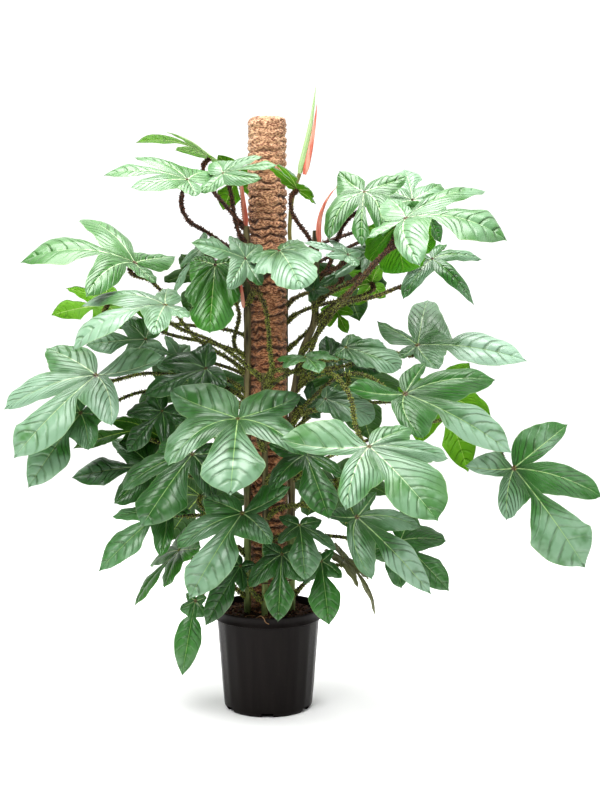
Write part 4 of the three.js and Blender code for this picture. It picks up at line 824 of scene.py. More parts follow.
    "leaf_low_left_5": dict(base=(-265, 755, 10), tip=(-355, 650, 34), look="dark", stalk=("left", 640)),
    "leaf_low_left_6": dict(base=(-185, 270, 60), tip=(-220, 75, 90), crown=0.7,
        right=((0.18, 0.15), (0.14, -0.08), (0.06, 0.22), (0.1, 0.03)),
        left=((0.16, 0.18), (0.14, -0.08), (0.05, 0.22), (0.1, 0.03)), stalk=("left", 285, (-125, 335, 50))),
    "leaf_low_left_7": dict(base=(-70, 360, 90), tip=(-160, 205, 120), crown=0.75, look="dark",
        right=((0.29, 0.3), (0.24, -0.12), (0.08, 0.24), (0.14, 0.05)),
        left=((0.24, 0.3), (0.18, -0.14), (0.06, 0.24), (0.12, 0.05)), stalk=("front", 280)),
    "dried_leaf": dict(base=(190, 380, 26), tip=(272, 230, 40), faces=(0.6, -0.6, 0.5), bend=60, wide=0.3,
        slim=0.6, arch=100, fold=0, look="dry", stalk=("right", 385)),
}

# Leaves that stand behind the pole
BEHIND = (0, 0.8, 0.6)
SHOOTS = {
    "backLeft": (
        dict(base=(-70, 1345, -150), tip=(-110, 1255, -175), faces=(-0.2, 0.8, 0.3), wide=1.4, under="lime",
            root=1130),
        dict(base=(-400, 1020, -90), tip=(-540, 995, -120), faces=(0, 0.6, 0.7), wide=1.2, under="lime",
            root=920),
        dict(base=(-280, 985, -60), tip=(-385, 965, -40), faces=(0, 0.6, 0.7), under="lime", root=870),
        dict(base=(-305, 935, -10), tip=(-455, 920, 0), faces=(0, -0.9, 0.5), look="pale", root=820),
        dict(base=(-305, 710, -82), tip=(-490, 660, -60), faces=(0, 0.5, 0.8), root=620),
        dict(base=(-295, 615, -75), tip=(-495, 585, -70), faces=(0, -0.7, 0.7), root=540),
        dict(base=(-140, 1095, -180), tip=(-200, 995, -330), faces=BEHIND, root=1020),
        dict(base=(-180, 820, -240), tip=(-230, 660, -400), faces=BEHIND, root=720),
        dict(base=(-170, 540, -150), tip=(-260, 420, -280), faces=BEHIND, root=420),
    ),
    "backRight": (
        dict(base=(360, 1280, -60), tip=(340, 1355, -200), faces=(0, -0.3, 0.95), look="pale", root=1120),
        dict(base=(390, 1260, -40), tip=(430, 1175, -40), faces=(0.3, -0.9, 0.4), root=1070),
        dict(base=(260, 1075, -120), tip=(155, 1045, -110), faces=(0, 0.7, 0.6), under="lime", root=970),
        dict(base=(170, 1010, -80), tip=(200, 950, -60), faces=(0, 0.9, 0.2), under="lime", root=900),
        dict(base=(435, 795, -60), tip=(505, 600, -40), faces=(0.3, 0.8, 0.3), under="deep", root=720),
        dict(base=(335, 425, 40), tip=(460, 295, 60), root=400),
        dict(base=(180, 1100, -140), tip=(230, 980, -280), faces=BEHIND, root=1010),
        dict(base=(200, 840, -220), tip=(260, 680, -380), faces=BEHIND, root=670),
        dict(base=(170, 580, -160), tip=(240, 440, -300), faces=BEHIND, root=470),
    ),
}
print("leaves:", len(LEAVES), "and behind the pole:", {stem: len(leaves) for stem, leaves in SHOOTS.items()})

# %% Model the leaves
def whole_leaf(own, **more):
    """All values of a leaf: the common ones, with its own over them."""
    leaf = {**SHAPE, **more, **own}
    if "both" in own:
        leaf["right"] = leaf["left"] = own["both"]
    return leaf


blades = {}
for name, own in LEAVES.items():
    blade = shape_blade(f"{name}_blade", whole_leaf(own, tone=float(rng.random())), FINE_NET)
    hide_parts(name)
    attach(blade, "root")
    blades[name] = blade
print("faces in all blades:", sum(len(blade.data.polygons) for blade in blades.values()))

# %% [markdown]
# ## Stems, stalks and their scales
# The leaf stalks of this plant are its mark: each is crowded with soft scales, green and dark low on the
# plant and red-brown near its top. A stalk is a curve with a round section, made a mesh, with one scale on
# most of its faces. A scale is a small three-sided cone, modelled once, laid back a little toward the leaf,
# and made a little longer or shorter each time. The stems are thicker, barky and knobbly, without scales.

# %% Bark and scale finishes
stalk_skin = Finish("stalk_skin", 0.6)
stalk_dots = stalk_skin.smooth(stalk_skin.noise(260, detail=2), 0.44, 0.6)
stalk_tone = stalk_skin.mix(stalk_skin.smooth(stalk_skin.height(), 0.9, 1.2), rgb(0x6c7a2c), rgb(0x64402a))
stalk_skin.colour(stalk_skin.mix(stalk_dots, rgb(0x24150a), stalk_tone))
stalk_skin.bump(stalk_dots, 0.0012, 0.8)

scale_skin = Finish("stalk_scales", 0.65, sheen=0.2)
scale_tone = scale_skin.smooth(scale_skin.noise(330, detail=1), 0.42, 0.56)
scale_age = scale_skin.smooth(scale_skin.height(), 0.92, 1.15, -0.2, 0.3)
scale_age = scale_skin.math("ADD", scale_skin.noise(7, detail=2), scale_age)
scale_light = scale_skin.mix(scale_skin.smooth(scale_age, 0.45, 0.65), rgb(0xa3ab4a), rgb(0x7e4a32))
scale_skin.colour(scale_skin.mix(scale_tone, rgb(0x1e0f08), scale_light))

bark = Finish("stem_bark", 0.8)
bark_streaks = bark.noise(90, detail=8, stretch=(1, 1, 0.12))
bark_colour = bark.mix(bark.smooth(bark_streaks, 0.35, 0.65), rgb(0x2a2416), rgb(0x7c7350))
bark_colour = bark.mix(bark.smooth(bark.noise(14), 0.5, 0.7, 0.0, 0.6), bark_colour, rgb(0x4c5c30))
young_bark = bark.mix(bark_streaks, rgb(0x5c7038), rgb(0xa8b878))
bark.colour(bark.mix(bark.smooth(bark.height(), 0.5, 0.4, 0.0, 0.85), bark_colour, young_bark))
bark.bump(bark_streaks, 0.002, 0.8)

new_stalk_skin = two_toned("new_stalk_skin", 0.45, (0x5d6a2e, 0x8f7a4c), 40, stretch=(1, 1, 0.2))
print("bark and scale finishes made")

# %% Places of stems and stalks
STEM_FOOT = 200
STEMS = {
    "left": ((-51, -32, STEM_FOOT), (-51, -32, 700), (-49, -36, 950), (-51, -32, 1215)),
    "front": ((-8, -60, STEM_FOOT), (-5, -60, 500), (-8, -60, 855)),
    "right": ((60, -15, STEM_FOOT), (60, -15, 710), (63, -15, 790), (84, -15, 900), (118, -16, 980),
              (121, -15, 1120), (119, -14, 1205)),
    "backLeft": ((-37, 48, STEM_FOOT), (-37, 48, 1140)),
    "backRight": ((42, 44, STEM_FOOT), (42, 44, 1140)),
}
NEW_STALK = dict(root=1060, radius=5.5,
                 line=((92, -15, 1100), (60, -14, 1165), (57, -13, 1240), (66, -10, 1300), (80, -6, 1344)))
LEAVE_OUT, LEAVE_UP, NECK = 30, 26, 25


def stem_point(stem, height):
    """A point on a stem's centre line, at a height in millimetres."""
    line = STEMS[stem]
    heights = [spot[2] for spot in line]
    return mm(*[np.interp(height, heights, [spot[axis] for spot in line]) for axis in range(3)])


def stalk_line(leaf):
    """Out of the stem and slanting up, past its own places, and square to the blade at the joint."""
    stem, height, *passing = leaf["stalk"]
    root = stem_point(stem, height)
    joint = place(leaf["base"])
    passing = [place(spot) for spot in passing]
    leaving = ((passing or [joint])[0] - root) * (1, 1, 0)
    leaving = unit(leaving) * LEAVE_OUT * MM + mm(0, 0, LEAVE_UP)
    _, forward, up, _, bend, _ = blade_frame(leaf)
    along = math.cos(bend / 2) * forward + math.sin(bend / 2) * up
    under = unit(up - along * up.dot(along))
    return [root, root + leaving, *passing, joint - under * NECK * MM, joint]


def tubes(name, lines, resolution, sides=8):
    """Round tubes along smooth curves, as one mesh. A line is (points, radii in metres)."""
    data = bpy.data.curves.new(name, "CURVE")
    data.dimensions = "3D"
    data.bevel_depth = 1
    data.bevel_resolution = 1 if sides == 8 else 0
    data.resolution_u = resolution
    data.use_fill_caps = True
    for points, radii in lines:
        spline = data.splines.new("BEZIER")
        spline.bezier_points.add(len(points) - 1)
        for knot, point, radius in zip(spline.bezier_points, points, radii):
            knot.co = point
            knot.radius = radius
            knot.handle_left_type = knot.handle_right_type = "AUTO"
    made = bpy.data.objects.new(name, data)
    scene.collection.objects.link(made)
    activate(made)
    bpy.ops.object.convert(target="MESH")
    return bpy.context.object


print("first stalk:", [spot.round(3).tolist() for spot in stalk_line(whole_leaf(LEAVES["leaf_left_1"]))])

# %% One scale, and a coat of them
SCALE_LENGTH = 5.2
SCALE_WIDTH = 2.2
SCALE_LEAN = 0.3
SCALE_SHIFT = 0.0007
SCALE_SPREAD = 0.22
SCALE_SIZES = (0.55, 1.2)

deselect_all()
bpy.ops.mesh.primitive_cone_add(vertices=3, radius1=SCALE_WIDTH * MM, radius2=0, depth=SCALE_LENGTH * MM)
one_scale = bpy.context.object
one_scale.data.transform(Matrix.Translation((0, 0, SCALE_LENGTH * MM * 0.42)))
scene.collection.objects.unlink(one_scale)


def mesh_arrays(mesh):
    """The points and the triangles of a mesh."""
    mesh.calc_loop_triangles()
    points = np.empty(len(mesh.vertices) * 3)
    mesh.vertices.foreach_get("co", points)
    corners = np.empty(len(mesh.loop_triangles) * 3, int)
    mesh.loop_triangles.foreach_get("vertices", corners)
    return points.reshape(-1, 3), corners.reshape(-1, 3)


def copies(model, places, outward, along, sizes):
    """Many copies of a small model in one mesh: its z turned outward, its x along."""
    points, faces = mesh_arrays(model.data)
    x_axis = along - outward * (along * outward).sum(axis=1)[:, None]
    x_axis /= np.linalg.norm(x_axis, axis=1)[:, None]
    y_axis = np.cross(outward, x_axis)
    turned = points[None, :, 0:1] * x_axis[:, None] + points[None, :, 1:2] * y_axis[:, None]
    turned = turned + points[None, :, 2:3] * outward[:, None]
    spots = places[:, None] + turned * sizes[:, None, None]
    shifts = np.arange(len(places))[:, None, None] * len(points)
    mesh = bpy.data.meshes.new(model.name)
    mesh.from_pydata(spots.reshape(-1, 3).tolist(), [], (faces[None] + shifts).reshape(-1, 3).tolist())
    made = bpy.data.objects.new(model.name, mesh)
    scene.collection.objects.link(made)
    return made


def coat_of_scales(tube, share, growing):
    """A scale on a share of the tube's faces, leaning the way that the tube grows."""
    mesh = tube.data
    count = len(mesh.polygons)
    centres, normals = np.empty(count * 3), np.empty(count * 3)
    mesh.polygons.foreach_get("center", centres)
    mesh.polygons.foreach_get("normal", normals)
    centres, normals = centres.reshape(-1, 3), normals.reshape(-1, 3)
    chosen = rng.random(count) < share
    centres, normals = centres[chosen], normals[chosen]
    centres = centres + rng.normal(0, SCALE_SHIFT, centres.shape)
    outward = normals + growing(centres) * SCALE_LEAN + rng.normal(0, SCALE_SPREAD, centres.shape)
    outward /= np.linalg.norm(outward, axis=1)[:, None]
    sizes = rng.uniform(*SCALE_SIZES, len(centres))
    return copies(one_scale, centres, outward, rng.normal(0, 1, centres.shape), sizes)


def join(pieces, name):
    """Joins pieces into the first of them."""
    deselect_all()
    for piece in pieces:
        piece.select_set(True)
    bpy.context.view_layer.objects.active = pieces[0]
    bpy.ops.object.join()
    pieces[0].name = pieces[0].data.name = name
    return pieces[0]


print("one scale:", len(one_scale.data.polygons), "faces")

# %% Model the stems with their stalks
STALK_STEPS = 34
STALK_TAPER = (1.3, 1.1, 0.8)
KNOT_SPACING = 24
KNOT_SWELL = 0.1
SCALE_SHARE = 0.8


def stalk_growth(lines):
    """Gives, for places on the stalks, the way that the nearest stretch of a stalk grows."""
    middles, ways = [], []
    for points, _ in lines:
        for first, second in zip(points, points[1:]):
            for share in (0.15, 0.5, 0.85):
                middles.append(first + (second - first) * share)
                ways.append(unit(second - first))
    middles, ways = np.array(middles), np.array(ways)

    def growing(spots):
        near = [np.argmin(((middles - spot) ** 2).sum(axis=1)) for spot in spots]
        return ways[near]
    return growing


def stem_line(stem):
    """The stem's own line, thicker at its knots."""
    low, high = STEMS[stem][0][2], STEMS[stem][-1][2]
    heights = np.arange(low, high + 1, (high - low) / round((high - low) / KNOT_SPACING))
    knots = STEM_RADIUS * (1 + KNOT_SWELL * (np.arange(len(heights)) % 3 == 0))
    knots[-1] = STEM_RADIUS * STALK_TAPER[2]
    return [stem_point(stem, height) for height in heights], knots * MM


def leafy_stem(name, stem, leaves, rear_blades=()):
    """One stem with its stalks and scales, and with its blades where they belong to the same piece."""
    lines = []
    for leaf in leaves:
        points = stalk_line(leaf)
        taper = [*STALK_TAPER[:2], *[1] * (len(points) - 3), STALK_TAPER[2]]
        lines.append((points, [STALK_RADIUS * share * MM for share in taper]))
    stalks = tubes(f"{name}_stalks", lines, STALK_STEPS)
    scales = coat_of_scales(stalks, SCALE_SHARE, stalk_growth(lines))
    trunk = tubes(f"{name}_trunk", [stem_line(stem)], 6)
    stalks.data.materials.append(stalk_skin.material)
    scales.data.materials.append(scale_skin.material)
    trunk.data.materials.append(bark.material)
    pieces = [trunk, stalks, scales, *rear_blades]
    if stem == "right":
        line = [stem_point(stem, NEW_STALK["root"]), *[mm(*spot) for spot in NEW_STALK["line"]]]
        new_stalk = tubes("new_stalk", [(line, [NEW_STALK["radius"] * MM] * len(line))], 16)
        new_stalk.data.materials.append(new_stalk_skin)
        pieces.append(new_stalk)
    made = join(pieces, f"{name}_grown")
    activate(made)
    bpy.ops.object.shade_smooth_by_angle(angle=math.radians(50))
    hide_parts(name)
    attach(made, "root")
    print(name, "triangles:", triangles(made))


for stem in ("left", "front", "right"):
    grown = [whole_leaf(own) for own in LEAVES.values() if own["stalk"][0] == stem]
    leafy_stem(f"stem_{stem}", stem, grown)

# %% [markdown]
# The two shoots behind the pole carry their leaves in the same piece, on a coarser net, because they show
# only between the leaves in front and from the back.

# %% Model the shoots behind the pole
for stem, name in (("backLeft", "shoot_back_left"), ("backRight", "shoot_back_right")):
    grown = [whole_leaf(own, tone=float(rng.random()), stalk=(stem, own["root"])) for own in SHOOTS[stem]]
    rear_blades = [shape_blade(f"{name}_leaf", leaf, REAR_NET) for leaf in grown]
    leafy_stem(name, stem, grown, rear_blades)

# %% [markdown]
# ## The coir pole
# Coconut fibre is wrapped round a wooden stake and shrinks into rough, uneven rings. The sleeve starts as a
# cylinder with many rows, whose points are pushed in and out: one wave for the rings, bent and broken
# by noise so that no two look alike, and finer noise for the matted fibre. Toward the top the rings lie
# closer and settle. The attribute `hollow` tells the finish where to paint shade into the hollows between
# the rings, and below the top the whole sleeve gets painted shade, as it lies under the leaves. Loose fibres
# are thin curved hairs scattered over the sleeve, which give its edge the fuzz.

# %% Coir finish
coir = Finish("coir_fibre", 0.9, sheen=0.3)
strands = coir.noise(150, detail=8, stretch=(1, 1, 2.2))
blotches = coir.noise(9, detail=3)
coir_light = coir.mix(coir.smooth(strands, 0.38, 0.62), rgb(0x84543a), rgb(0xf2c29a))
# Painted shade: dark brown in the hollows between the rings, and a darker sleeve below the top, under the
# leaves.
coir_shade = coir.smooth(coir.attribute("hollow"), 0.25, 1.0, 0.0, 0.85)
coir_body = coir.mix(coir_shade, coir_light, rgb(0x341c10))
low_shade = coir.smooth(coir.height(), 0.9, 1.45, 0.9, 0.0)
coir_body = coir.mix(low_shade, coir_body, rgb(0xe0c8b0), blend_type="MULTIPLY")
coir.colour(coir.mix(coir.smooth(blotches, 0.55, 0.75, 0.0, 0.45), coir_body, rgb(0xc08a60)))
coir.bump(coir.noise(300, detail=6, stretch=(1, 1, 1.6)), 0.004)
coir_hair = two_toned("coir_hair", 0.85, (0x6b4229, 0xcfa181), 50)
print("coir finish made")

# %% Model the coir sleeve
COIR_SIDES = 104
COIR_ROW = 2.8
RING_DEPTH = 9.5
RING_PITCH = 19.5
RING_MIDDLE = 0.8
RING_BEND, RING_WAVER = 0.013, 0.009
NOISE_ROUND, NOISE_UP, DEPTH_NOISE_UP = 1.6, 22, 38
PACKED_FROM, PACKING = 1.2, 8
SETTLING, SETTLED = (1.28, 1.42), 0.45
LUMP_HEIGHT = 2.6
HOLLOW_GAIN = 1.4
ROUND_TOP = 13
SEAM_GAP = 1e-6
coir_low, coir_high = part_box("coir_wrap")
side_length = coir_high[2] - coir_low[2]
whole_way = side_length + (COIR_RADIUS - ROUND_TOP) * MM


def coir_place(angle, way):
    """A point of the sleeve, `way` metres up its side and then inward over its top, and how hollow it is."""
    height = min(coir_low[2] + way, coir_high[2])
    over = max(0.0, way - side_length)
    x, y = math.cos(angle), math.sin(angle)
    around = Vector((x * NOISE_ROUND, y * NOISE_ROUND, height * NOISE_UP))
    deeper = noise.noise(Vector((x * NOISE_ROUND, y * NOISE_ROUND, height * DEPTH_NOISE_UP)))
    slant = height + RING_BEND * noise.noise(around * 0.5) + RING_WAVER * noise.noise(around * 1.7)
    packed = PACKING * max(0.0, height - PACKED_FROM) ** 2
    ring = abs(math.sin(math.pi * (slant / (RING_PITCH * MM) + packed))) ** 0.8
    depth = np.interp(height, SETTLING, (1, SETTLED)) * (0.9 + 0.9 * deeper)
    lumps = noise.fractal(around * 3, 0.7, 2.2, 4)
    radius = (COIR_RADIUS + RING_DEPTH * (ring - RING_MIDDLE) * depth + LUMP_HEIGHT * lumps) * MM
    shoulder = ROUND_TOP * MM
    to_top = max(0.0, 1 - (coir_high[2] - height) / shoulder)
    radius -= shoulder * (1 - math.sqrt(1 - to_top ** 2)) + over
    sink = 0.003 * lumps * min(1, over * 200)
    return (radius * x, radius * y, height - abs(sink)), (1 - ring) * depth * HOLLOW_GAIN


def wrapped_grid(sides, rows):
    """A flat grid, with the angle round the axis and the share of its height for each of its points."""
    deselect_all()
    bpy.ops.mesh.primitive_grid_add(x_subdivisions=sides, y_subdivisions=rows, size=2)
    spots = bpy.context.object.data.vertices
    angles = [0 if spot.co.x > 1 - SEAM_GAP else math.pi * (spot.co.x + 1) for spot in spots]
    return bpy.context.object, list(zip(spots, angles, [(spot.co.y + 1) / 2 for spot in spots]))


sleeve, spots = wrapped_grid(COIR_SIDES, round(whole_way / (COIR_ROW * MM)))
hollows = []
for vertex, angle, share in spots:
    vertex.co, deep = coir_place(angle, whole_way * share)
    hollows.append(deep)
sleeve.data.attributes.new("hollow", "FLOAT", "POINT").data.foreach_set("value", hollows)
merge_and_turn(SLEEVE_MERGE, bpy.ops.mesh.edge_face_add)
bpy.ops.object.shade_smooth()
sleeve.data.materials.append(coir.material)
print("sleeve faces:", len(sleeve.data.polygons))

# %% Loose fibres on the sleeve
HAIRS = 2600
HAIR_RADIUS = 0.38
HAIR_SPAN, HAIR_CLIMB = 0.35, 0.006
HAIR_RISE = (0.0005, 0.0045)
HAIR_FOOT = 0.0008


def coir_hair_line():
    """One fibre that leaves the sleeve, bows along it and comes back to it."""
    angle = rng.uniform(0, math.tau)
    way = rng.uniform(0.07, side_length - 0.004)
    span = rng.normal(0, HAIR_SPAN)
    climb = rng.normal(0, HAIR_CLIMB)
    rise = rng.uniform(*HAIR_RISE)
    points = []
    for share in (0, 0.5, 1):
        spot, _ = coir_place((angle + span * share) % math.tau, way + climb * share)
        outward = Vector((spot[0], spot[1], 0)).normalized()
        points.append(Vector(spot) + outward * (rise * math.sin(math.pi * share * 0.75) - HAIR_FOOT))
    return points, [HAIR_RADIUS * MM] * 3


hairs = tubes("coir_hairs", [coir_hair_line() for _ in range(HAIRS)], 2, sides=3)
hairs.data.materials.append(coir_hair)
sleeve = join([sleeve, hairs], "coir_wrap_sleeve")
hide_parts("coir_wrap")
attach(sleeve, "root")
print("sleeve triangles:", triangles(sleeve))

# %% [markdown]
# The stake shows nowhere but at its cut foot, deep in the pot, so its own solid stays and gets raw wood.

# %% Stake wood
stake_wood = two_toned("stake_wood", 0.75, (0x6e5030, 0xb08c5c), 60, relief=(0.0006, 0.5), detail=6,
                       stretch=(1, 1, 0.06))


def dress(node, material):
    """Gives a solid that stays its finish."""
    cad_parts[node].data.materials.clear()
    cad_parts[node].data.materials.append(material)


dress("pole_core", stake_wood)
print("stake dressed")

# %% [markdown]
# ## Pot and soil
# The nursery pot is blown from thin black plastic: a round wall that widens upward, a rim band, a chamfer
# at its foot and six notches that let water out. A thin bead closes the foot of the band, and the wall has
# twenty shallow panels. The half outline is drawn once and spun round the axis. The plastic is black with a
# satin gloss, scuffed a little, with faint streaks down the wall.

# %% Plastic finish
plastic = Finish("black_plastic", 0.45)
plastic.shader.inputs["Specular IOR Level"].default_value = 0.13
streaks = plastic.noise(14, detail=5, stretch=(5, 5, 0.25))
scuffs = plastic.noise(160, detail=8)
plastic_colour = plastic.mix(streaks, rgb(0x0f0b0b), rgb(0x211c1a))
plastic.colour(plastic.mix(plastic.smooth(scuffs, 0.6, 0.8, 0.0, 0.35), plastic_colour, rgb(0x2c2826)))
plastic.join(plastic.math("MULTIPLY_ADD", scuffs, 0.35, 0.2), plastic.shader.inputs["Roughness"])
plastic.bump(plastic.noise(500, detail=3), 0.0003, 0.4)
print("plastic finish made")

# %% Spin the pot
POT_STEPS = 120
RIM_ROLL = 1.4
BEAD = 1.0
PANELS = 20
PANEL_DEPTH = 1.5


def pot_outline():
    """The pot's wall from the middle of its base, up the outside, over the rim and down the inside."""
    band_foot = POT["height"] - POT["band_drop"]
    foot_top = POT["foot_height"] + POT["floor"]
    foot_inner = POT["base_radius"] - POT["foot_width"]
    wall, body, rim = POT["wall"], POT["body_radius"], POT["rim_radius"]
    slope = (body - POT["base_radius"]) / band_foot
    outside = [(0, 0), (POT["base_radius"] - POT["chamfer_width"], 0), (POT["base_radius"] - 1, 6),
               (POT["base_radius"], POT["chamfer_height"])]
    outside += [(POT["base_radius"] + slope * height, height) for height in (40, 80, 120, 160, 200)]
    outside += [(body, band_foot), (body + 1.2, band_foot + 0.6), (rim - 1, band_foot + 1.2),
                (rim + BEAD, band_foot + 2.5), (rim + BEAD, band_foot + 4.5), (rim - 0.6, band_foot + 7),
                (rim - 0.4, POT["height"] - 7), (rim + 0.4, POT["height"] - 4)]
    roll = [(rim - RIM_ROLL + RIM_ROLL * math.cos(turn), POT["height"] - RIM_ROLL + RIM_ROLL * math.sin(turn))
            for turn in (0.3, 0.9, 1.57, 2.3)]
    inside = [(rim - wall - 0.6, POT["height"] - 4), (body - wall, band_foot),
              (POT["base_radius"] - wall, foot_top), (foot_inner, foot_top),
              (foot_inner - wall, POT["floor"]), (0, POT["floor"])]
    return outside + roll + inside


mesh = bpy.data.meshes.new("pot_shell")
outline_points = [(radius * MM, 0, height * MM) for radius, height in pot_outline()]
mesh.from_pydata(outline_points, [(i, i + 1) for i in range(len(outline_points) - 1)], [])
pot = bpy.data.objects.new("pot_shell", mesh)
scene.collection.objects.link(pot)
activate(pot)
bpy.ops.object.mode_set(mode="EDIT")
bpy.ops.mesh.select_all(action="SELECT")
bpy.ops.mesh.spin(steps=POT_STEPS, angle=math.tau, center=(0, 0, 0), axis=(0, 0, 1))
merge_and_turn(MERGE)
for vertex in pot.data.vertices:
    reach = math.hypot(vertex.co.x, vertex.co.y)
    on_wall = POT["chamfer_height"] * MM < vertex.co.z < (POT["height"] - POT["band_drop"]) * MM
    if on_wall and reach > POT["base_radius"] * MM:
        hollow_panel = PANEL_DEPTH * MM * abs(math.sin(PANELS / 2 * math.atan2(vertex.co.y, vertex.co.x)))
        vertex.co.xy *= 1 - hollow_panel / reach
print("pot faces:", len(pot.data.polygons))

# %% Cut the drain notches
NOTCH_HEIGHT = 22


def cut(target, cutter):
    """Cuts one piece out of another."""
    activate(target)
    change = target.modifiers.new("cut", "BOOLEAN")
    change.operation = "DIFFERENCE"
    change.object = cutter
    bpy.ops.object.modifier_apply(modifier=change.name)
    bpy.data.objects.remove(cutter)


for number in range(POT["channels"]):
    turn = (number + 0.5) / POT["channels"] * math.tau
    reach = (POT["base_radius"] - POT["foot_width"] / 2 + 4) * MM
    deselect_all()
    where = (reach * math.cos(turn), reach * math.sin(turn), 0)
    notch_size = mm(POT["foot_width"] + 8, POT["channel_width"], NOTCH_HEIGHT)
    bpy.ops.mesh.primitive_cube_add(size=1, location=where, rotation=(0, 0, turn), scale=notch_size)
    notch = bpy.context.object
    bpy.ops.object.transform_apply()
    notch_bevel = notch.modifiers.new("round", "BEVEL")
    notch_bevel.width = 2 * MM
    notch_bevel.segments = 2
    bpy.ops.object.modifier_apply(modifier=notch_bevel.name)
    cut(pot, notch)
activate(pot)
bpy.ops.object.shade_smooth_by_angle(angle=math.radians(35))
pot.data.materials.append(plastic.material)
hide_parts("pot")
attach(pot, "root")
print("pot triangles:", triangles(pot))

# %% [markdown]
# The soil is dark, moist and crumbly. Its mound is a disc of rings whose points are raised by noise, with
# crumbs of many sizes on top, and a few fine roots that run over it. One root hangs out over the pot's rim.

# %% Soil finish
earth = Finish("soil_crumb", 0.95)
earth_tone = earth.noise(90, detail=8)
earth_colour = earth.mix(earth.smooth(earth_tone, 0.35, 0.7), rgb(0x1c0d07), rgb(0x5a3420))
earth.colour(earth.mix(earth.smooth(earth.noise(330, detail=2), 0.64, 0.74), earth_colour, rgb(0x9a7048)))
earth.bump(earth.noise(220, detail=8), 0.004)
root_skin = two_toned("root_skin", 0.8, (0x5a3a22, 0xa98a62), 80)
print("soil finish made")

# %% Model the soil
SOIL_RINGS = 46
SOIL_SIDES = 120
SOIL_BUMP = 0.0028
SOIL_SKIRT = 0.03
soil_radius = POT["body_radius"] - POT["wall"] - 2
hole_radius = COIR_RADIUS - 1


def soil_height(x, y):
    """Height of the mound in metres, over a place in metres."""
    share = min(1.0, math.hypot(x, y) / (soil_radius * MM))
    bumps = noise.fractal(Vector((x, y, 0)) * 45, 0.9, 2.1, 4)
    return (SOIL["top"] + SOIL["mound"] * (1 - share ** 2)) * MM + SOIL_BUMP * bumps * (1.15 - share)


soil, spots = wrapped_grid(SOIL_SIDES, SOIL_RINGS)
for vertex, angle, height_share in spots:
    way = height_share * (SOIL_RINGS + 2) - 1
    share = min(max(way / SOIL_RINGS, 0), 1)
    radius = (hole_radius + (soil_radius - hole_radius) * share) * MM
    x, y = radius * math.cos(angle), radius * math.sin(angle)
    vertex.co = (x, y, soil_height(x, y) - (SOIL_SKIRT if way < 0 or way > SOIL_RINGS else 0))
merge_and_turn(MERGE, bpy.ops.mesh.bridge_edge_loops)
soil.data.materials.append(earth.material)

# %% Crumbs and roots
CRUMBS = 750
ROOTS = 16
ROOT_POINTS = 6
ROOT_RADIUS = (1.1, 0.3)
ROOT_TURN = 0.12
ROOT_STEP = (2, 9)
RIM_ROOT = ((-30, -96, 247), (-22, -118, 257), (-14, -131, 263), (-7, -138.5, 258), (-2, -140, 249),
            (5, -139.5, 245))
RIM_ROOT_RADIUS = 1.3
deselect_all()
bpy.ops.mesh.primitive_ico_sphere_add(subdivisions=1, radius=1)
one_crumb = bpy.context.object
for vertex in one_crumb.data.vertices:
    vertex.co *= 1 + 0.3 * noise.noise(vertex.co * 2.3)
scene.collection.objects.unlink(one_crumb)
crumb_turns = rng.uniform(0, math.tau, CRUMBS)
crumb_reach = np.sqrt(rng.uniform(((hole_radius + 4) / soil_radius) ** 2, 0.95, CRUMBS)) * soil_radius * MM
crumb_x, crumb_y = crumb_reach * np.cos(crumb_turns), crumb_reach * np.sin(crumb_turns)
crumb_z = np.array([soil_height(x, y) for x, y in zip(crumb_x, crumb_y)])
crumb_sizes = rng.gamma(2.2, 0.9, CRUMBS).clip(0.8, 5) * MM
crumb_z = crumb_z + crumb_sizes * 0.3
crumb_ways = rng.normal(0, 1, (CRUMBS, 3))
crumb_ways /= np.linalg.norm(crumb_ways, axis=1)[:, None]
crumbs = copies(one_crumb, np.stack((crumb_x, crumb_y, crumb_z), axis=1), crumb_ways,
                rng.normal(0, 1, (CRUMBS, 3)), crumb_sizes)
crumbs.data.materials.append(earth.material)


def root_line():
    """A fine root that wanders over the soil from near the pole."""
    angle = rng.uniform(0, math.tau)
    reach = rng.uniform(hole_radius + 6, soil_radius - 45)
    points = []
    for _ in range(ROOT_POINTS):
        x, y = reach * math.cos(angle) * MM, reach * math.sin(angle) * MM
        points.append(Vector((x, y, soil_height(x, y) + 0.0012)))
        angle += rng.normal(0, ROOT_TURN)
        reach += rng.uniform(*ROOT_STEP)
    return points, np.linspace(*ROOT_RADIUS, ROOT_POINTS) * MM


rim_root = ([Vector(mm(*spot)) for spot in RIM_ROOT], [RIM_ROOT_RADIUS * MM] * len(RIM_ROOT))
roots = tubes("soil_roots", [root_line() for _ in range(ROOTS)] + [rim_root], 4)
roots.data.materials.append(root_skin)
soil = join([soil, crumbs, roots], "soil_mound")
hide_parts("soil")
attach(soil, "root")
print("soil triangles:", triangles(soil))

# %% [markdown]
# ## Ties, the rolled leaf and its sheaths
# Two soft ties hold the stems to the pole near its foot. The newest leaf stands rolled up beside the pole,
# pale green with a fine seam, and each rolled leaf comes out of a salmon pink sheath, a long thin blade
# folded along its middle that dries and drops when the leaf opens.

# %% Tie finish, and the ties
tie_fibre = two_toned("tie_fibre", 0.85, (0x2c1b10, 0x6d4a30), 700, relief=(0.0008, 0.8),
                      stretch=(1, 1, 2.5), sheen=0.3)
for node in ("tie_1", "tie_2"):
    dress(node, tie_fibre)
print("ties dressed")

# %% Finishes of the rolled leaf and the sheaths
new_leaf_skin = two_toned("new_leaf_skin", 0.4, (0x86ae66, 0xc0d8a6), 60, relief=(0.0008, 0.5), detail=5,
                          stretch=(1, 1, 0.15), coat=0.2)
sheath_skin = two_toned("sheath_skin", 0.45, (0xc96450, 0xe8a892), 110, relief=(0.0008, 0.5),
                        limits=(0.3, 0.7), detail=6, stretch=(1, 1, 0.1), coat=0.15)
print("new leaf and sheath finishes made")

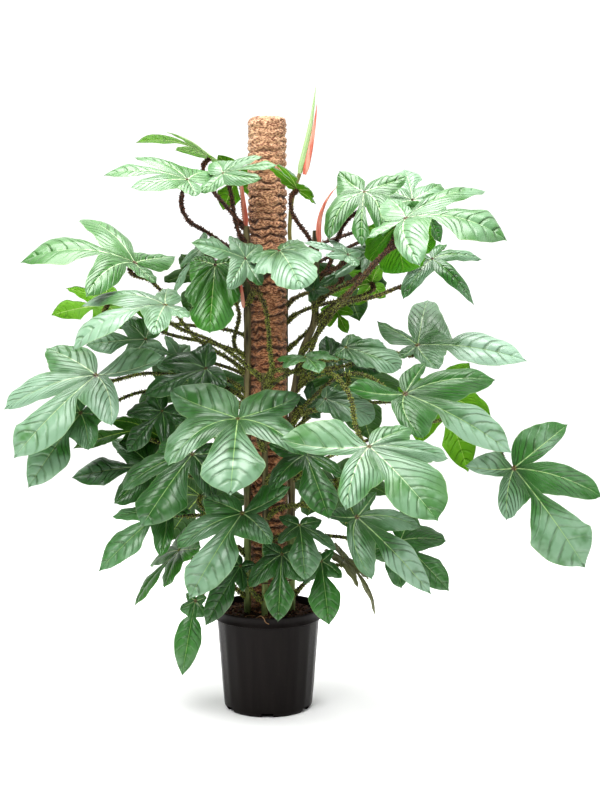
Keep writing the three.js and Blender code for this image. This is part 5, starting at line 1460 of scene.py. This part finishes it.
# %% Model the rolled leaf and the sheaths
SPINDLE = ((0, 0.6), (0.1, 1), (0.3, 0.88), (0.6, 0.56), (0.8, 0.32), (0.93, 0.14), (1, 0.02))
SPINDLE_SIDES = 28
SPINDLE_ROWS = 44
PLAIN_SPINDLE = dict(flat=0.4, bow=(0, 0, 0), rolls=1)
SPINDLES = {
    "new_leaf_spear": dict(foot=(80, -6, 1345.1), tip=(120, 2, 1562), radius=9, flat=0.6, bow=(5, 0, 0),
                           rolls=2),
    "sheath_top": dict(foot=(92, -11.6, 1342), tip=(123, -1.2, 1520), radius=7.5, bow=(4, -3, 0)),
    "sheath_left": dict(foot=(-51, -32, 1215.8), tip=(-70, -36, 1375), radius=7),
    "sheath_middle": dict(foot=(-57.8, -42, 1015), tip=(-69, -51, 1120), radius=5),
    "sheath_right": dict(foot=(129, -22, 1172), tip=(173, -47, 1312), radius=7, bow=(-17, 4, 8)),
}


def shape_spindle(node, spec, material):
    """A long pointed roll: a cylinder whose rows follow the profile, grooved where its edges overlap."""
    foot, tip, bow = (Vector(mm(*spec[key])) for key in ("foot", "tip", "bow"))
    along = tip - foot
    turn = Vector((0, 0, 1)).rotation_difference(along)
    deselect_all()
    bpy.ops.mesh.primitive_cylinder_add(vertices=SPINDLE_SIDES, radius=1, depth=1, end_fill_type="TRIFAN")
    made = bpy.context.object
    bpy.ops.object.mode_set(mode="EDIT")
    for row in range(1, SPINDLE_ROWS):
        bpy.ops.mesh.select_all(action="SELECT")
        bpy.ops.mesh.bisect(plane_co=(0, 0, row / SPINDLE_ROWS - 0.5), plane_no=(0, 0, 1))
    bpy.ops.object.mode_set(mode="OBJECT")
    shares, widths = zip(*SPINDLE)
    for vertex in made.data.vertices:
        share = vertex.co.z + 0.5
        angle = math.atan2(vertex.co.y, vertex.co.x)
        groove = 0
        for roll in range(spec["rolls"]):
            from_seam = (angle + math.pi / 2 - 0.9 * roll - 0.5 * share + math.pi) % math.tau - math.pi
            groove += 0.2 * math.exp(-(from_seam / 0.22) ** 2)
        width = np.interp(share, shares, widths) * spec["radius"] * (1 - groove)
        centre = min(1, math.hypot(vertex.co.x, vertex.co.y))
        reach = width * centre
        spot = Vector((reach * math.cos(angle), reach * spec["flat"] * math.sin(angle), 0)) * MM
        spot.z = share * along.length
        spot.rotate(turn)
        vertex.co = foot + spot + bow * 4 * share * (1 - share)
    made.name = made.data.name = f"{node}_roll"
    made.data.materials.append(material)
    bpy.ops.object.shade_smooth_by_angle(angle=math.radians(60))
    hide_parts(node)
    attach(made, "root")
    return made


for node, spec in SPINDLES.items():
    skin = new_leaf_skin if node == "new_leaf_spear" else sheath_skin
    roll = shape_spindle(node, {**PLAIN_SPINDLE, **spec}, skin)
    print(roll.name, "faces:", len(roll.data.polygons))
